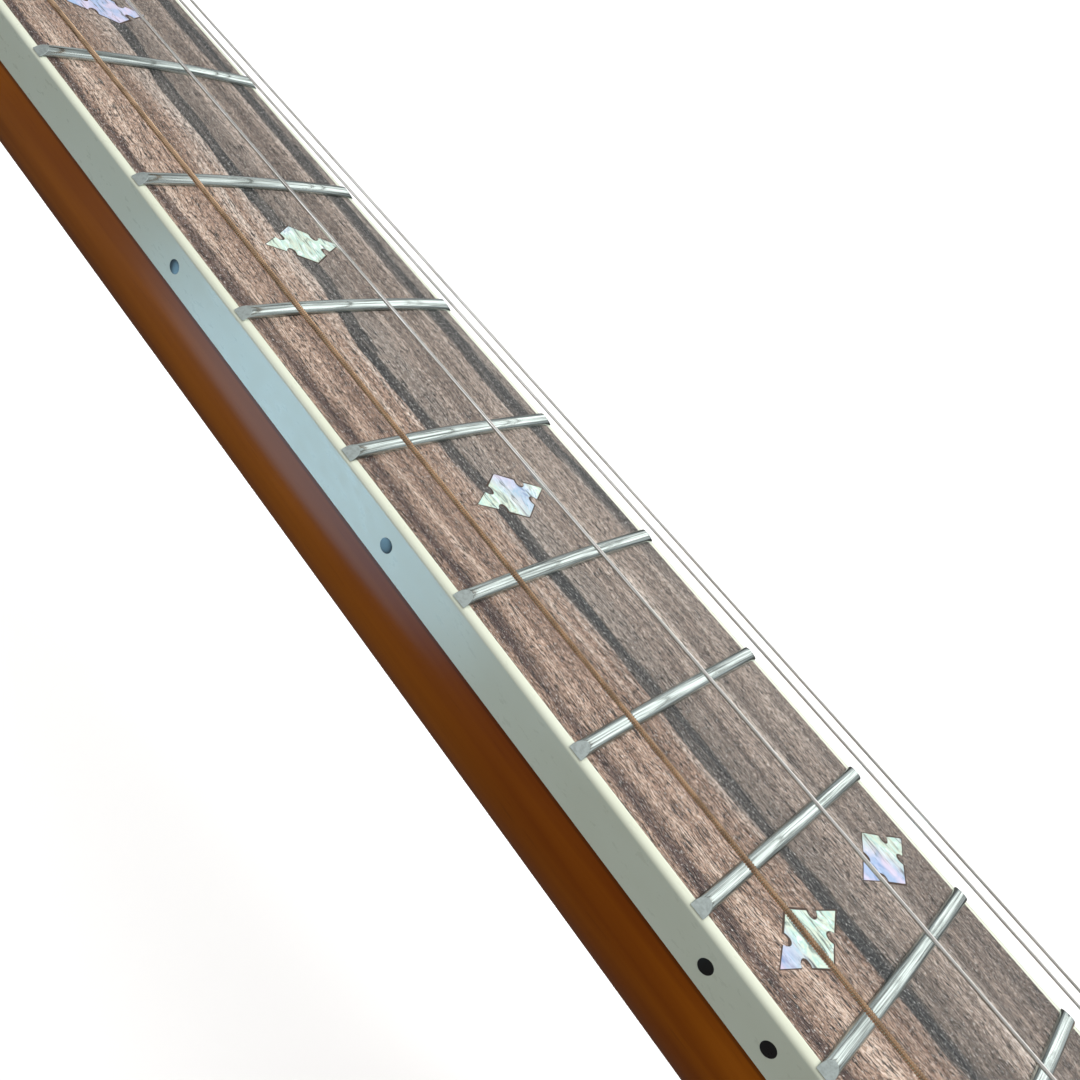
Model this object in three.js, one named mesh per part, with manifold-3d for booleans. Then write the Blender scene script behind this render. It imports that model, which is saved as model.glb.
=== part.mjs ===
// Resonator guitar with a slim neck, four strings in three courses (the treble course is doubled).
// Millimetres, +Z up. The instrument lies on its flat back with the strings up, and +X runs from the
// headstock to the tail. The shapes are written in the neck frame: x = 0 is the nut's front face,
// y = 0 is the centre line and z = 0 is the top edge of the fretboard binding. The last lines move
// the whole instrument so that its origin is at the bottom centre of its bounding box.
import * as THREE from "three";
import { mergeVertices } from "three/addons/utils/BufferGeometryUtils.js";
import Module from "manifold-3d";

const wasm = await Module();
wasm.setup();

// Driving dimensions -----------------------------------------------------------------------------

const SCALE = 635;                    // nut to saddle
const FRET_COUNT = 19;
const JOIN_FRET = 14;                 // the body starts at this fret
const GAP = 0.2;                      // between glued or touching pieces
const HIDDEN_GAP = 0.3;               // between pieces inside the body

const BOARD = {
  halfAtNut: 16.8, halfAt12th: 21.3, thick: 5.9, archRadius: 305, overhang: 6.5, binding: 1.2,
};
const FRET = {
  width: 2.03, crown: 1.1, tang: 0.5, tangDepth: 1.5, slot: 0.9, slotDepth: 2, bevel: 1, lift: 0.06,
  endInset: 0.15, endHeight: 0.25,
};
const NECK = { depthAtNut: 22.3, depthAt12th: 24, curve: 2.8, heelStart: 314, heelDepth: 76 };
const TENON = { length: 20, half: 8.5, top: -12, bottom: -68 };
const NUT = { thick: 5, top: 2.8, notchGap: 0.12 };
const HEAD = {
  tilt: 13, originX: -5.8, originZ: -3, length: 165, thick: 14.2, veneer: 2, halfAtNut: 17.2,
  halfWide: 31.5, halfTip: 33.5,
};
const TRUSS = { half: 3, top: -6.6, bottom: -15.2, from: -16, to: 330 };

const BODY = { length: 500, depth: 88, plate: 3.5, side: 3, binding: 1.6 };
const NECK_BLOCK = { length: 36, half: 30 };
const TAIL_BLOCK = { length: 26, half: 28 };
const SOUND_HOLE = { x: 430, y: 72, radius: 29.6 };

const WELL = { inner: 126, outer: 140, ledgeRadius: 134.8, ledge: -21.3, ports: 6, portRadius: 19 };
const CONE = { rim: 134, seat: -20.2, thick: 0.8 };
const COVER = { radius: 143, plateau: 62, top: 0.8, thick: 1, openX: 13, openY: 38 };
const SPIDER = { legs: 8, reach: 126, legWidth: 5, hubRadius: 20, top: -2.5 };
const SADDLE = { thick: 4.6, half: 30, bottom: -8 };
const HAND_REST = { width: 24, inside: 46.5, foot: 58, under: 12.3, thick: 1.8 };
const TAILPIECE = { front: 766, thick: 1.6, bottom: -4.6, halfFront: 31, halfBack: 17, drop: -52 };
const STRAP = { z: -45, shank: 2.3, shankLength: 26, head: 6.5, length: 14 };

// Strings from bass to treble: y at the nut and at the saddle, and the radius.
const NUT_STRING_Z = 2.17;
const SADDLE_STRING_Z = 8.7;
const TAIL_STRING_Z = -1.6;
const STRINGS = [
  { nut: -12.0, saddle: -20.4, radius: 0.37 },
  { nut: 0.9, saddle: 1.2, radius: 0.26 },
  { nut: 11.0, saddle: 18.8, radius: 0.2 },
  { nut: 13.6, saddle: 21.3, radius: 0.2 },
];

// Tuners in the headstock's frame: x along it (negative towards the tip), y across, z out of its face.
const POSTS = [
  { x: -48, y: -20, side: -1 },
  { x: -100, y: -20, side: -1 },
  { x: -100, y: 20, side: 1 },
  { x: -48, y: 20, side: 1 },
];
const POST = { radius: 3, hole: 3.6, top: 12.5, wrapZ: 5.5 };
const PLATE = { thick: 1.2, near: 14, far: 10, half: 8.5 };
const GEAR = { teeth: 14, tip: 5.4, root: 4, width: 2.4, z: -21.2 };
const WORM = { offset: 7.2, core: 1.6, crest: 2.7, pitch: 2.2, shaft: 1.5, hole: 1.9, half: 4.4 };
const LUG = { near: 5.2, thick: 2, half: 3, drop: 3 };
const BUTTON = { start: 16 };

const BOARD_BOTTOM = -BOARD.thick;
const WOOD_TOP = BOARD_BOTTOM - GAP;             // top of the neck and of the body
const BODY_BOTTOM = WOOD_TOP - BODY.depth;
const BODY_START = fretX(JOIN_FRET);
const BODY_END = BODY_START + BODY.length;
const BOARD_END = fretX(FRET_COUNT) + BOARD.overhang;
const HEAD_TILT = THREE.MathUtils.degToRad(HEAD.tilt);

function fretX(n) {
  return SCALE * (1 - 2 ** (-n / 12));
}

function boardHalf(x) {
  return BOARD.halfAtNut + (BOARD.halfAt12th - BOARD.halfAtNut) * (x / fretX(12));
}

// Height of the arched board above the binding's edge.
function archZ(x, y) {
  return (boardHalf(x) ** 2 - y ** 2) / (2 * BOARD.archRadius);
}

// Materials --------------------------------------------------------------------------------------

const LOOKS = {
  amberWood: { color: 0x9a4f1c, roughness: 0.3, metalness: 0 },
  darkWood: { color: 0x5f4a3d, roughness: 0.6, metalness: 0 },
  paleWood: { color: 0xc9a878, roughness: 0.7, metalness: 0 },
  ebony: { color: 0x1c1815, roughness: 0.35, metalness: 0 },
  cream: { color: 0xd9d8c2, roughness: 0.35, metalness: 0 },
  nickel: { color: 0xc8c6bd, roughness: 0.2, metalness: 1 },
  aluminium: { color: 0xb9bcc0, roughness: 0.35, metalness: 1 },
  steel: { color: 0xa9adb0, roughness: 0.3, metalness: 1 },
  bronze: { color: 0xb5793f, roughness: 0.35, metalness: 1 },
};

function part(name, geometry, look) {
  const mesh = new THREE.Mesh(geometry, new THREE.MeshStandardMaterial(LOOKS[look]));
  mesh.name = name;
  return mesh;
}

// Solid helpers ----------------------------------------------------------------------------------

// Indices without the flat triangles that a turned profile has where it meets its axis.
function fullTriangles(index) {
  const kept = [];
  for (let i = 0; i < index.length; i += 3) {
    const [a, b, c] = index.slice(i, i + 3);
    if (a !== b && b !== c && c !== a) kept.push(a, b, c);
  }
  return new Uint32Array(kept);
}

function toSolid(geometry) {
  const bare = geometry.clone();
  bare.deleteAttribute("normal");
  bare.deleteAttribute("uv");
  const merged = mergeVertices(bare, 1e-4);
  return new wasm.Manifold(new wasm.Mesh({
    numProp: 3,
    vertProperties: new Float32Array(merged.attributes.position.array),
    triVerts: fullTriangles(merged.index.array),
  }));
}

function toGeometry(solid) {
  const { vertProperties, triVerts } = solid.getMesh();
  const geometry = new THREE.BufferGeometry();
  geometry.setAttribute("position", new THREE.BufferAttribute(vertProperties, 3));
  geometry.setIndex(new THREE.BufferAttribute(triVerts, 1));
  return geometry;
}

function join(...geometries) {
  return toGeometry(geometries.map(toSolid).reduce((whole, next) => whole.add(next)));
}

function cut(geometry, ...tools) {
  return toGeometry(tools.map(toSolid).reduce((whole, tool) => whole.subtract(tool), toSolid(geometry)));
}

function common(first, second) {
  return toGeometry(toSolid(first).intersect(toSolid(second)));
}

function box(x0, x1, y0, y1, z0, z1) {
  return new THREE.BoxGeometry(x1 - x0, y1 - y0, z1 - z0)
    .translate((x0 + x1) / 2, (y0 + y1) / 2, (z0 + z1) / 2);
}

// The same shape as corner points, anticlockwise outside and clockwise round its holes.
function oriented(shape, curveSegments) {
  const { shape: outer, holes } = shape.extractPoints(curveSegments);
  const wound = (points, clockwise) =>
    THREE.ShapeUtils.isClockWise(points) === clockwise ? points : [...points].reverse();
  const result = new THREE.Shape(wound(outer, false));
  result.holes = holes.map((hole) => new THREE.Path(wound(hole, true)));
  return result;
}

// Plan outline raised from z0 to z1.
function slab(shape, z0, z1, curveSegments = 12) {
  return new THREE.ExtrudeGeometry(oriented(shape, curveSegments), { depth: z1 - z0, bevelEnabled: false })
    .translate(0, 0, z0);
}

function circlePath(x, y, radius) {
  return new THREE.Path().absarc(x, y, radius, 0, 2 * Math.PI, true);
}

// Profile of [radius, z] pairs turned about the Z axis through (x, y), in either order.
function turned(profile, segments, x = 0, y = 0) {
  const points = profile.map(([r, z]) => new THREE.Vector2(r, z));
  if (THREE.ShapeUtils.isClockWise(points)) points.reverse();
  return new THREE.LatheGeometry(points, segments).rotateX(Math.PI / 2).translate(x, y, 0);
}

// The same with the profile's first and last points joined, for a ring.
function turnedRing(profile, segments, x = 0, y = 0) {
  return turned([...profile, profile[0]], segments, x, y);
}

function rod(radius, y0, y1, sides) {
  return new THREE.CylinderGeometry(radius, radius, y1 - y0, sides).translate(0, (y0 + y1) / 2, 0);
}

// Closed skin through rings with equal numbers of points, with a fan over each end ring.
function loft(rings) {
  const count = rings[0].length;
  const points = rings.flat();
  const index = [];
  for (let i = 0; i + 1 < rings.length; i++) {
    for (let j = 0; j < count; j++) {
      const a = i * count + j;
      const b = i * count + (j + 1) % count;
      index.push(a, b, b + count, a, b + count, a + count);
    }
  }
  const lastStart = (rings.length - 1) * count;
  const firstCentre = points.push(middle(rings[0])) - 1;
  const lastCentre = points.push(middle(rings[rings.length - 1])) - 1;
  for (let j = 0; j < count; j++) {
    const next = (j + 1) % count;
    index.push(firstCentre, next, j, lastCentre, lastStart + j, lastStart + next);
  }
  if (signedVolume(points, index) < 0) index.reverse();
  const geometry = new THREE.BufferGeometry().setFromPoints(points);
  geometry.setIndex(index);
  return geometry;
}

function middle(ring) {
  return ring.reduce((sum, p) => sum.add(p), new THREE.Vector3()).divideScalar(ring.length);
}

function signedVolume(points, index) {
  let sum = 0;
  const cross = new THREE.Vector3();
  for (let i = 0; i < index.length; i += 3) {
    cross.crossVectors(points[index[i + 1]], points[index[i + 2]]);
    sum += points[index[i]].dot(cross);
  }
  return sum;
}

// Fretboard, frets and nut -----------------------------------------------------------------------

const BOARD_STEPS = 6;
const CROWN_STEPS = 4;

// Section of the board across y at x: arched top and flat underside.
function boardSection(x, inset, bottom) {
  const half = boardHalf(x) - inset;
  const top = [];
  for (let i = 0; i <= BOARD_STEPS; i++) {
    const y = half * (1 - 2 * i / BOARD_STEPS);
    top.push(new THREE.Vector3(x, y, archZ(x, y)));
  }
  return [...top, new THREE.Vector3(x, -half, bottom), new THREE.Vector3(x, half, bottom)];
}

function fretSlots() {
  const slots = [];
  for (let n = 1; n <= FRET_COUNT; n++) {
    const x = fretX(n);
    slots.push(box(x - FRET.slot / 2, x + FRET.slot / 2, -40, 40, -FRET.slotDepth, 5));
  }
  return slots;
}

function makeFretboard() {
  const wood = BOARD.binding + 0.1;
  const blank = loft([0, BOARD_END - wood].map((x) => boardSection(x, wood, BOARD_BOTTOM)));
  return part("fretboard", cut(blank, ...fretSlots()), "darkWood");
}

// Strip along both long edges and round the end of the board, flat on top.
function makeFretboardBinding() {
  const edge = boardHalf(BOARD_END);
  const start = boardHalf(0);
  const inset = BOARD.binding;
  const strip = new THREE.Shape([
    [0, start], [0, start - inset], [BOARD_END - inset, edge - inset], [BOARD_END - inset, inset - edge],
    [0, inset - start], [0, -start], [BOARD_END, -edge], [BOARD_END, edge],
  ].map(([x, y]) => new THREE.Vector2(x, y)));
  return part("fretboard_binding", slab(strip, BOARD_BOTTOM, 0), "cream");
}

// Half-round section of a fret's crown at one y.
function crownSection(x, y, height) {
  const base = archZ(x, y) + FRET.lift;
  const ring = [];
  for (let i = 0; i <= CROWN_STEPS; i++) {
    const angle = (Math.PI * i) / CROWN_STEPS;
    ring.push(new THREE.Vector3(x + (FRET.width / 2) * Math.cos(angle), y, base + height * Math.sin(angle)));
  }
  return ring;
}

// Crown with bevelled ends over the binding, and a tang that stays inside the wood.
function makeFret(n) {
  const x = fretX(n);
  const edge = boardHalf(x) - FRET.endInset;
  const shoulder = edge - FRET.bevel;
  const rings = [-edge, -shoulder, -shoulder / 2, 0, shoulder / 2, shoulder, edge].map((y) => {
    const height = Math.abs(y) > shoulder ? FRET.crown * FRET.endHeight : FRET.crown;
    return crownSection(x, y, height);
  });
  const tangHalf = edge - BOARD.binding - FRET.bevel;
  const tang = box(x - FRET.tang / 2, x + FRET.tang / 2, -tangHalf, tangHalf, -FRET.tangDepth, FRET.crown);
  return part(`fret_${String(n).padStart(2, "0")}`, join(loft(rings), tang), "nickel");
}

// Open-topped notches for the strings across a nut or saddle that spans x0 to x1.
function stringNotches(x0, x1, where, stringZ) {
  return STRINGS.map((string) => {
    const reach = string.radius + NUT.notchGap;
    const y = string[where];
    return box(x0 - 1, x1 + 1, y - reach, y + reach, stringZ - reach, stringZ + 10);
  });
}

function makeNut() {
  const half = BOARD.halfAtNut;
  const block = box(-NUT.thick, -GAP, -half, half, BOARD_BOTTOM, NUT.top);
  return part("nut", cut(block, ...stringNotches(-NUT.thick, 0, "nut", NUT_STRING_Z)), "cream");
}

// Neck, headstock and truss rod ------------------------------------------------------------------

const NECK_STEPS = 16;

function neckDepth(x) {
  const shaft = NECK.depthAtNut + (NECK.depthAt12th - NECK.depthAtNut) * (x / fretX(12));
  if (x <= NECK.heelStart) return shaft;
  const t = (x - NECK.heelStart) / (BODY_START - NECK.heelStart);
  return shaft + (NECK.heelDepth - shaft) * (1 - Math.sqrt(1 - Math.min(t, 1) ** 2));
}

// D-shaped section with a flat top: a superellipse below it.
function neckSection(x, half, top, bottom, curve) {
  const ring = [];
  for (let i = 0; i <= NECK_STEPS; i++) {
    const angle = (Math.PI * i) / NECK_STEPS;
    const y = half * Math.sign(Math.cos(angle)) * Math.abs(Math.cos(angle)) ** (2 / curve);
    ring.push(new THREE.Vector3(x, y, top - (top - bottom) * Math.sin(angle) ** (2 / curve)));
  }
  return ring;
}

function neckShaft() {
  const stations = [HEAD.originX, 0, 100, 200, fretX(12) - 15, 312, 320, 328, 336, 342, 347, 350.5,
    BODY_START - HIDDEN_GAP];
  return loft(stations.map((x) => {
    const heel = Math.max(0, (x - NECK.heelStart) / (BODY_START - NECK.heelStart));
    return neckSection(x, boardHalf(x), WOOD_TOP, -neckDepth(x), NECK.curve - 0.6 * heel);
  }));
}

// Rounded swelling behind the nut where the shaft's back meets the headstock's.
function neckVolute() {
  const stations = [
    { x: -5, half: 16.7, top: -9, bottom: -22.2 },
    { x: -14, half: 16.4, top: -11, bottom: -22.9 },
    { x: -22, half: 15.2, top: -13, bottom: -24.1 },
    { x: -30, half: 12, top: -15, bottom: -25.2 },
  ];
  return loft(stations.map(({ x, half, top, bottom }) => neckSection(x, half, top, bottom, NECK.curve)));
}

// Plan of the headstock in its own frame, narrow at the nut and with a softly curved end.
function headOutline() {
  const { length, halfAtNut, halfWide, halfTip } = HEAD;
  const shape = new THREE.Shape();
  shape.moveTo(0, -halfAtNut);
  shape.bezierCurveTo(-14, -halfAtNut - 1, -18, -halfWide, -38, -halfWide);
  shape.bezierCurveTo(-80, -halfWide, -110, -halfTip + 3, -length + 10, -halfTip);
  shape.bezierCurveTo(-length + 2, -halfTip + 9, -length - 1, -12, -length, 0);
  shape.bezierCurveTo(-length - 1, 12, -length + 2, halfTip - 9, -length + 10, halfTip);
  shape.bezierCurveTo(-110, halfTip - 3, -80, halfWide, -38, halfWide);
  shape.bezierCurveTo(-18, halfWide, -14, halfAtNut + 1, 0, halfAtNut);
  shape.holes = POSTS.map(({ x, y }) => circlePath(x, y, POST.hole));
  return shape;
}

// Puts a shape made in the headstock's frame into the neck frame.
function tilt(object) {
  const group = new THREE.Group();
  group.position.set(HEAD.originX, 0, HEAD.originZ);
  group.rotation.y = -HEAD_TILT;
  return group.add(object);
}

function tiltGeometry(geometry) {
  return geometry.rotateY(-HEAD_TILT).translate(HEAD.originX, 0, HEAD.originZ);
}

function headBlock() {
  const top = -HEAD.veneer - GAP;
  return tiltGeometry(slab(headOutline(), top - HEAD.thick, top, 6));
}

function makeNeck() {
  const { length, half, top, bottom } = TENON;
  const end = BODY_START - 1;
  const tenon = box(end, BODY_START + length, -half, half, bottom, top);
  const blank = join(neckShaft(), neckVolute(), headBlock(), tenon);
  const nutLedge = box(HEAD.originX + 0.1, 20, -40, 40, WOOD_TOP, 20);
  const rodChannel = box(TRUSS.from - 9, TRUSS.to + 5, -TRUSS.half - GAP, TRUSS.half + GAP,
    TRUSS.bottom - GAP, 0);
  return part("neck", cut(blank, nutLedge, rodChannel), "amberWood");
}

function makeHeadstockVeneer() {
  const outline = headOutline();
  const pocket = new THREE.Path();
  pocket.moveTo(-3, -4).lineTo(-3, 4).lineTo(-21, 4).lineTo(-21, -4).closePath();
  outline.holes.push(pocket);
  return part("headstock_veneer", slab(outline, -HEAD.veneer, 0, 6), "ebony");
}

// Rounded triangle over the truss rod's pocket.
function makeTrussRodCover() {
  const shape = new THREE.Shape();
  shape.moveTo(-2, -8).bezierCurveTo(-10, -8, -20, -7, -27, 0);
  shape.bezierCurveTo(-20, 7, -10, 8, -2, 8).closePath();
  return part("truss_rod_cover", slab(shape, GAP, GAP + 1.4, 6), "cream");
}

function makeTrussRod() {
  const bar = box(TRUSS.from + 6, TRUSS.to, -TRUSS.half, TRUSS.half, TRUSS.bottom, TRUSS.top);
  const height = (TRUSS.bottom + TRUSS.top) / 2;
  const nut = new THREE.CylinderGeometry(TRUSS.half, TRUSS.half, 8, 6).rotateZ(Math.PI / 2)
    .translate(TRUSS.from + 3, 0, height);
  return part("truss_rod", join(bar, nut), "steel");
}

// Body -------------------------------------------------------------------------------------------

// Half of the outline, from the neck joint round to the tail, as points with y >= 0.
function bodyHalfOutline() {
  const at = (x, y) => new THREE.Vector2(BODY_START + x, y);
  const bends = [
    [at(0, 27), at(0, 90), at(34, 128), at(80, 128), 7],
    [at(80, 128), at(118, 128), at(124, 110), at(154, 110), 5],
    [at(154, 110), at(200, 110), at(250, 187), at(340, 187), 8],
    [at(340, 187), at(440, 187), at(500, 112), at(500, 0), 10],
  ];
  const points = bends.flatMap(([a, b, c, d, steps]) =>
    new THREE.CubicBezierCurve(a, b, c, d).getPoints(steps).slice(0, steps));
  return [...points, at(500, 0)];
}

// Whole outline, anticlockwise, moved inwards by an even distance.
function bodyOutline(inset) {
  const half = bodyHalfOutline();
  const mirrored = half.slice(0, -1).map(({ x, y }) => new THREE.Vector2(x, -y));
  const loop = [...mirrored, ...half.reverse()];
  return loop.map((point, i) => {
    const before = loop[(i + loop.length - 1) % loop.length];
    const after = loop[(i + 1) % loop.length];
    const into = new THREE.Vector2(before.y - after.y, after.x - before.x).normalize();
    const edge = new THREE.Vector2(point.y - before.y, before.x - point.x).normalize();
    return point.clone().addScaledVector(into, inset / Math.abs(into.dot(edge)));
  });
}

function bodyRing(outerInset, innerInset, z0, z1) {
  const shape = new THREE.Shape(bodyOutline(outerInset));
  shape.holes.push(new THREE.Path(bodyOutline(innerInset)));
  return slab(shape, z0, z1);
}

const PLATE_INSET = BODY.binding + GAP;
const RIM_TOP = WOOD_TOP - BODY.plate - GAP;
const RIM_BOTTOM = BODY_BOTTOM + BODY.plate + GAP;

function makeBodyTop() {
  const shape = new THREE.Shape(bodyOutline(PLATE_INSET));
  shape.holes.push(circlePath(SCALE, 0, WELL.ledgeRadius));
  for (const side of [-1, 1]) {
    shape.holes.push(circlePath(SOUND_HOLE.x, side * SOUND_HOLE.y, SOUND_HOLE.radius));
  }
  return part("body_top", slab(shape, WOOD_TOP - BODY.plate, WOOD_TOP, 24), "amberWood");
}

function makeBodyBack() {
  const shape = new THREE.Shape(bodyOutline(PLATE_INSET));
  return part("body_back", slab(shape, BODY_BOTTOM, BODY_BOTTOM + BODY.plate), "amberWood");
}

// Hole along X for the strap button's screw.
function strapHole() {
  return rod(STRAP.shank + 0.5, 0, 60, 12).rotateZ(-Math.PI / 2).translate(BODY_END - 40, 0, STRAP.z);
}

function mortise(from, to) {
  const { half, bottom } = TENON;
  return box(from, to, -half - HIDDEN_GAP, half + HIDDEN_GAP, bottom - HIDDEN_GAP, 0);
}

function makeBodySides() {
  const ring = bodyRing(0, BODY.side, RIM_BOTTOM, RIM_TOP);
  return part("body_sides", cut(ring, mortise(BODY_START - 2, BODY_START + 6), strapHole()), "amberWood");
}

function makeTopBinding() {
  return part("top_binding", bodyRing(0, BODY.binding, WOOD_TOP - BODY.plate, WOOD_TOP), "cream");
}

function makeBackBinding() {
  const bottom = BODY_BOTTOM + 0.2;
  return part("back_binding", bodyRing(0, BODY.binding, bottom, BODY_BOTTOM + BODY.plate), "cream");
}

function makeNeckBlock() {
  const x = BODY_START + BODY.side + HIDDEN_GAP;
  const { length, half } = NECK_BLOCK;
  const block = box(x, x + length, -half, half, RIM_BOTTOM, RIM_TOP);
  return part("neck_block", cut(block, mortise(x - 5, BODY_START + TENON.length + HIDDEN_GAP)), "paleWood");
}

function makeTailBlock() {
  const x = BODY_END - BODY.side - 2.5;
  const { length, half } = TAIL_BLOCK;
  const block = box(x - length, x, -half, half, RIM_BOTTOM, RIM_TOP);
  return part("tail_block", cut(block, strapHole()), "paleWood");
}

// Screened sound hole: a flanged ring that hangs in the hole, closed by a flat screen.
function makeSoundHoleScreen(name, side) {
  const { radius, x, y } = SOUND_HOLE;
  const flange = WOOD_TOP + GAP;
  const profile = [
    [0, flange - 1.4], [radius - 3.4, flange - 1.4], [radius - 3.4, flange + 0.4],
    [radius - 2.6, flange + 1.2], [radius + 4, flange + 0.8], [radius + 4.6, flange],
    [radius - 0.6, flange], [radius - 0.6, flange - 2.2], [0, flange - 2.2],
  ];
  return part(name, turned(profile, 20, x, side * y), "nickel");
}

// Resonator --------------------------------------------------------------------------------------

// Wall under the top with a ledge for the cone and round ports towards the sides.
function makeSoundwell() {
  const { inner, outer, ledgeRadius, ledge } = WELL;
  const wall = turnedRing([
    [inner, RIM_BOTTOM], [outer, RIM_BOTTOM], [outer, RIM_TOP], [ledgeRadius, RIM_TOP],
    [ledgeRadius, ledge], [inner, ledge],
  ], 32, SCALE);
  const ports = [];
  for (let i = 0; i < WELL.ports; i++) {
    ports.push(new THREE.CylinderGeometry(WELL.portRadius, WELL.portRadius, 60, 12).rotateZ(Math.PI / 2)
      .translate(outer, 0, (RIM_BOTTOM + ledge) / 2).rotateZ((2 * Math.PI * (i + 0.5)) / WELL.ports)
      .translate(SCALE, 0, 0));
  }
  return part("soundwell", cut(wall, ...ports), "paleWood");
}

// Thin spun shell: rim, bowl, and a raised centre under the tension screw.
function makeCone() {
  const { rim, seat, thick } = CONE;
  const upper = [[rim, seat], [122, seat], [98, seat - 14], [66, seat - 26], [48, seat - 26],
    [14, seat - 9], [4, seat - 8]];
  const lower = upper.map(([r, z]) => [r, z - thick]).reverse();
  return part("resonator_cone", turnedRing([...upper, ...lower], 30, SCALE), "aluminium");
}

// One leg of the spider in side view, from the hub to the foot on the cone's rim.
function spiderLeg(angle) {
  const { reach, legWidth, top } = SPIDER;
  const foot = CONE.seat + HIDDEN_GAP;
  const shape = new THREE.Shape([
    [8, top - 1], [24, top - 1], [70, top - 7], [reach - 8, -12.5], [reach, -15], [reach, foot],
    [reach - 6, foot], [reach - 9, -17], [70, top - 12], [24, top - 8], [8, top - 8],
  ].map(([x, z]) => new THREE.Vector2(x, z)));
  return new THREE.ExtrudeGeometry(shape, { depth: legWidth, bevelEnabled: false })
    .translate(0, 0, -legWidth / 2).rotateX(Math.PI / 2).rotateZ(angle);
}

function makeSpider() {
  const { legs, hubRadius, top } = SPIDER;
  const hub = new THREE.CylinderGeometry(hubRadius, hubRadius, 7, 24).rotateX(Math.PI / 2)
    .translate(0, 0, top - 4.5);
  const ridge = box(-6, 6, -SADDLE.half - 3, SADDLE.half + 3, top - 8, top);
  const arms = [];
  for (let i = 0; i < legs; i++) arms.push(spiderLeg((2 * Math.PI * (i + 0.5)) / legs));
  const slotHalf = SADDLE.thick / 2 + GAP;
  const slot = box(-slotHalf, slotHalf, -SADDLE.half - GAP, SADDLE.half + GAP, SADDLE.bottom - GAP, 5);
  const screwHole = rod(2.4, -40, 0, 12).rotateX(Math.PI / 2);
  const headRecess = rod(4.4, SADDLE.bottom - GAP, 5, 12).rotateX(Math.PI / 2);
  const solid = cut(join(hub, ridge, ...arms), slot, screwHole, headRecess);
  return part("spider_bridge", solid.translate(SCALE, 0, 0), "aluminium");
}

// Blade in the spider's slot, with a notch below for the screw's head.
function makeSaddle() {
  const { thick, half, bottom } = SADDLE;
  const x0 = SCALE - thick / 2;
  const x1 = SCALE + thick / 2;
  const blade = new THREE.Shape([
    [-half, bottom], [half, bottom], [half, 4.5], [half - 4, SADDLE_STRING_Z + 0.5],
    [4 - half, SADDLE_STRING_Z + 0.5], [-half, 4.5],
  ].map(([y, z]) => new THREE.Vector2(y, z)));
  const solid = new THREE.ExtrudeGeometry(blade, { depth: thick, bevelEnabled: false })
    .rotateX(Math.PI / 2).rotateZ(Math.PI / 2).translate(x0, 0, 0);
  const screwNotch = box(x0 - 1, x1 + 1, -4.5, 4.5, bottom - 1, bottom + 3);
  const notches = stringNotches(x0, x1, "saddle", SADDLE_STRING_Z);
  return part("saddle", cut(solid, screwNotch, ...notches), "paleWood");
}

function makeTensionScrew() {
  const head = SADDLE.bottom;
  const profile = [[0, head + 2.4], [3.6, head + 2.2], [3.9, head], [2, head], [2, -33], [0, -34]];
  return part("tension_screw", turned(profile, 12, SCALE), "steel");
}

// Tapered slot with round ends that points at the centre.
function coverSlot(angle, from, to) {
  const shape = new THREE.Shape();
  shape.absarc(from, 0, 2.2, Math.PI / 2, 1.5 * Math.PI, false);
  shape.absarc(to, 0, 3.6, 1.5 * Math.PI, 2.5 * Math.PI, false);
  return slab(shape, -20, 10, 2).rotateZ(angle).translate(SCALE, 0, 0);
}

function makeCoverplate() {
  const { radius, plateau, top, thick, openX, openY } = COVER;
  const flange = WOOD_TOP + GAP + thick;
  const plate = turned([
    [0, top - thick], [plateau, top - thick], [125, flange + 0.8 - thick], [126, flange - thick],
    [radius, flange - thick], [radius, flange - 0.3], [radius - 1, flange], [127, flange],
    [125, flange + 0.8], [plateau, top], [0, top],
  ], 40, SCALE);
  const slots = [];
  for (let i = 0; i < 16; i++) {
    slots.push(coverSlot((2 * Math.PI * (i + 0.5)) / 16, i % 2 ? 76 : 94, 112));
  }
  const opening = box(SCALE - openX, SCALE + openX, -openY, openY, -20, 20);
  return part("coverplate", cut(plate, opening, ...slots), "nickel");
}

// Strap bent over the saddle, with a foot at each end on the coverplate.
function makeHandRest() {
  const { width, inside, foot, under, thick } = HAND_REST;
  const floor = COVER.top + GAP;
  const outside = inside + thick;
  const shape = new THREE.Shape();
  shape.moveTo(-foot, floor).lineTo(-inside, floor).lineTo(-inside, under - 5);
  shape.quadraticCurveTo(-inside, under, 6 - inside, under).lineTo(inside - 6, under);
  shape.quadraticCurveTo(inside, under, inside, under - 5).lineTo(inside, floor).lineTo(foot, floor);
  shape.lineTo(foot, floor + thick).lineTo(outside, floor + thick).lineTo(outside, under - 4);
  shape.quadraticCurveTo(outside, under + thick, inside - 6, under + thick);
  shape.lineTo(6 - inside, under + thick);
  shape.quadraticCurveTo(-outside, under + thick, -outside, under - 4);
  shape.lineTo(-outside, floor + thick).lineTo(-foot, floor + thick).closePath();
  const solid = new THREE.ExtrudeGeometry(shape, { depth: width, bevelEnabled: false, curveSegments: 4 })
    .rotateX(Math.PI / 2).rotateZ(Math.PI / 2).translate(SCALE - width / 2, 0, 0);
  return part("hand_rest", solid, "nickel");
}

// Tail -------------------------------------------------------------------------------------------

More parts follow.
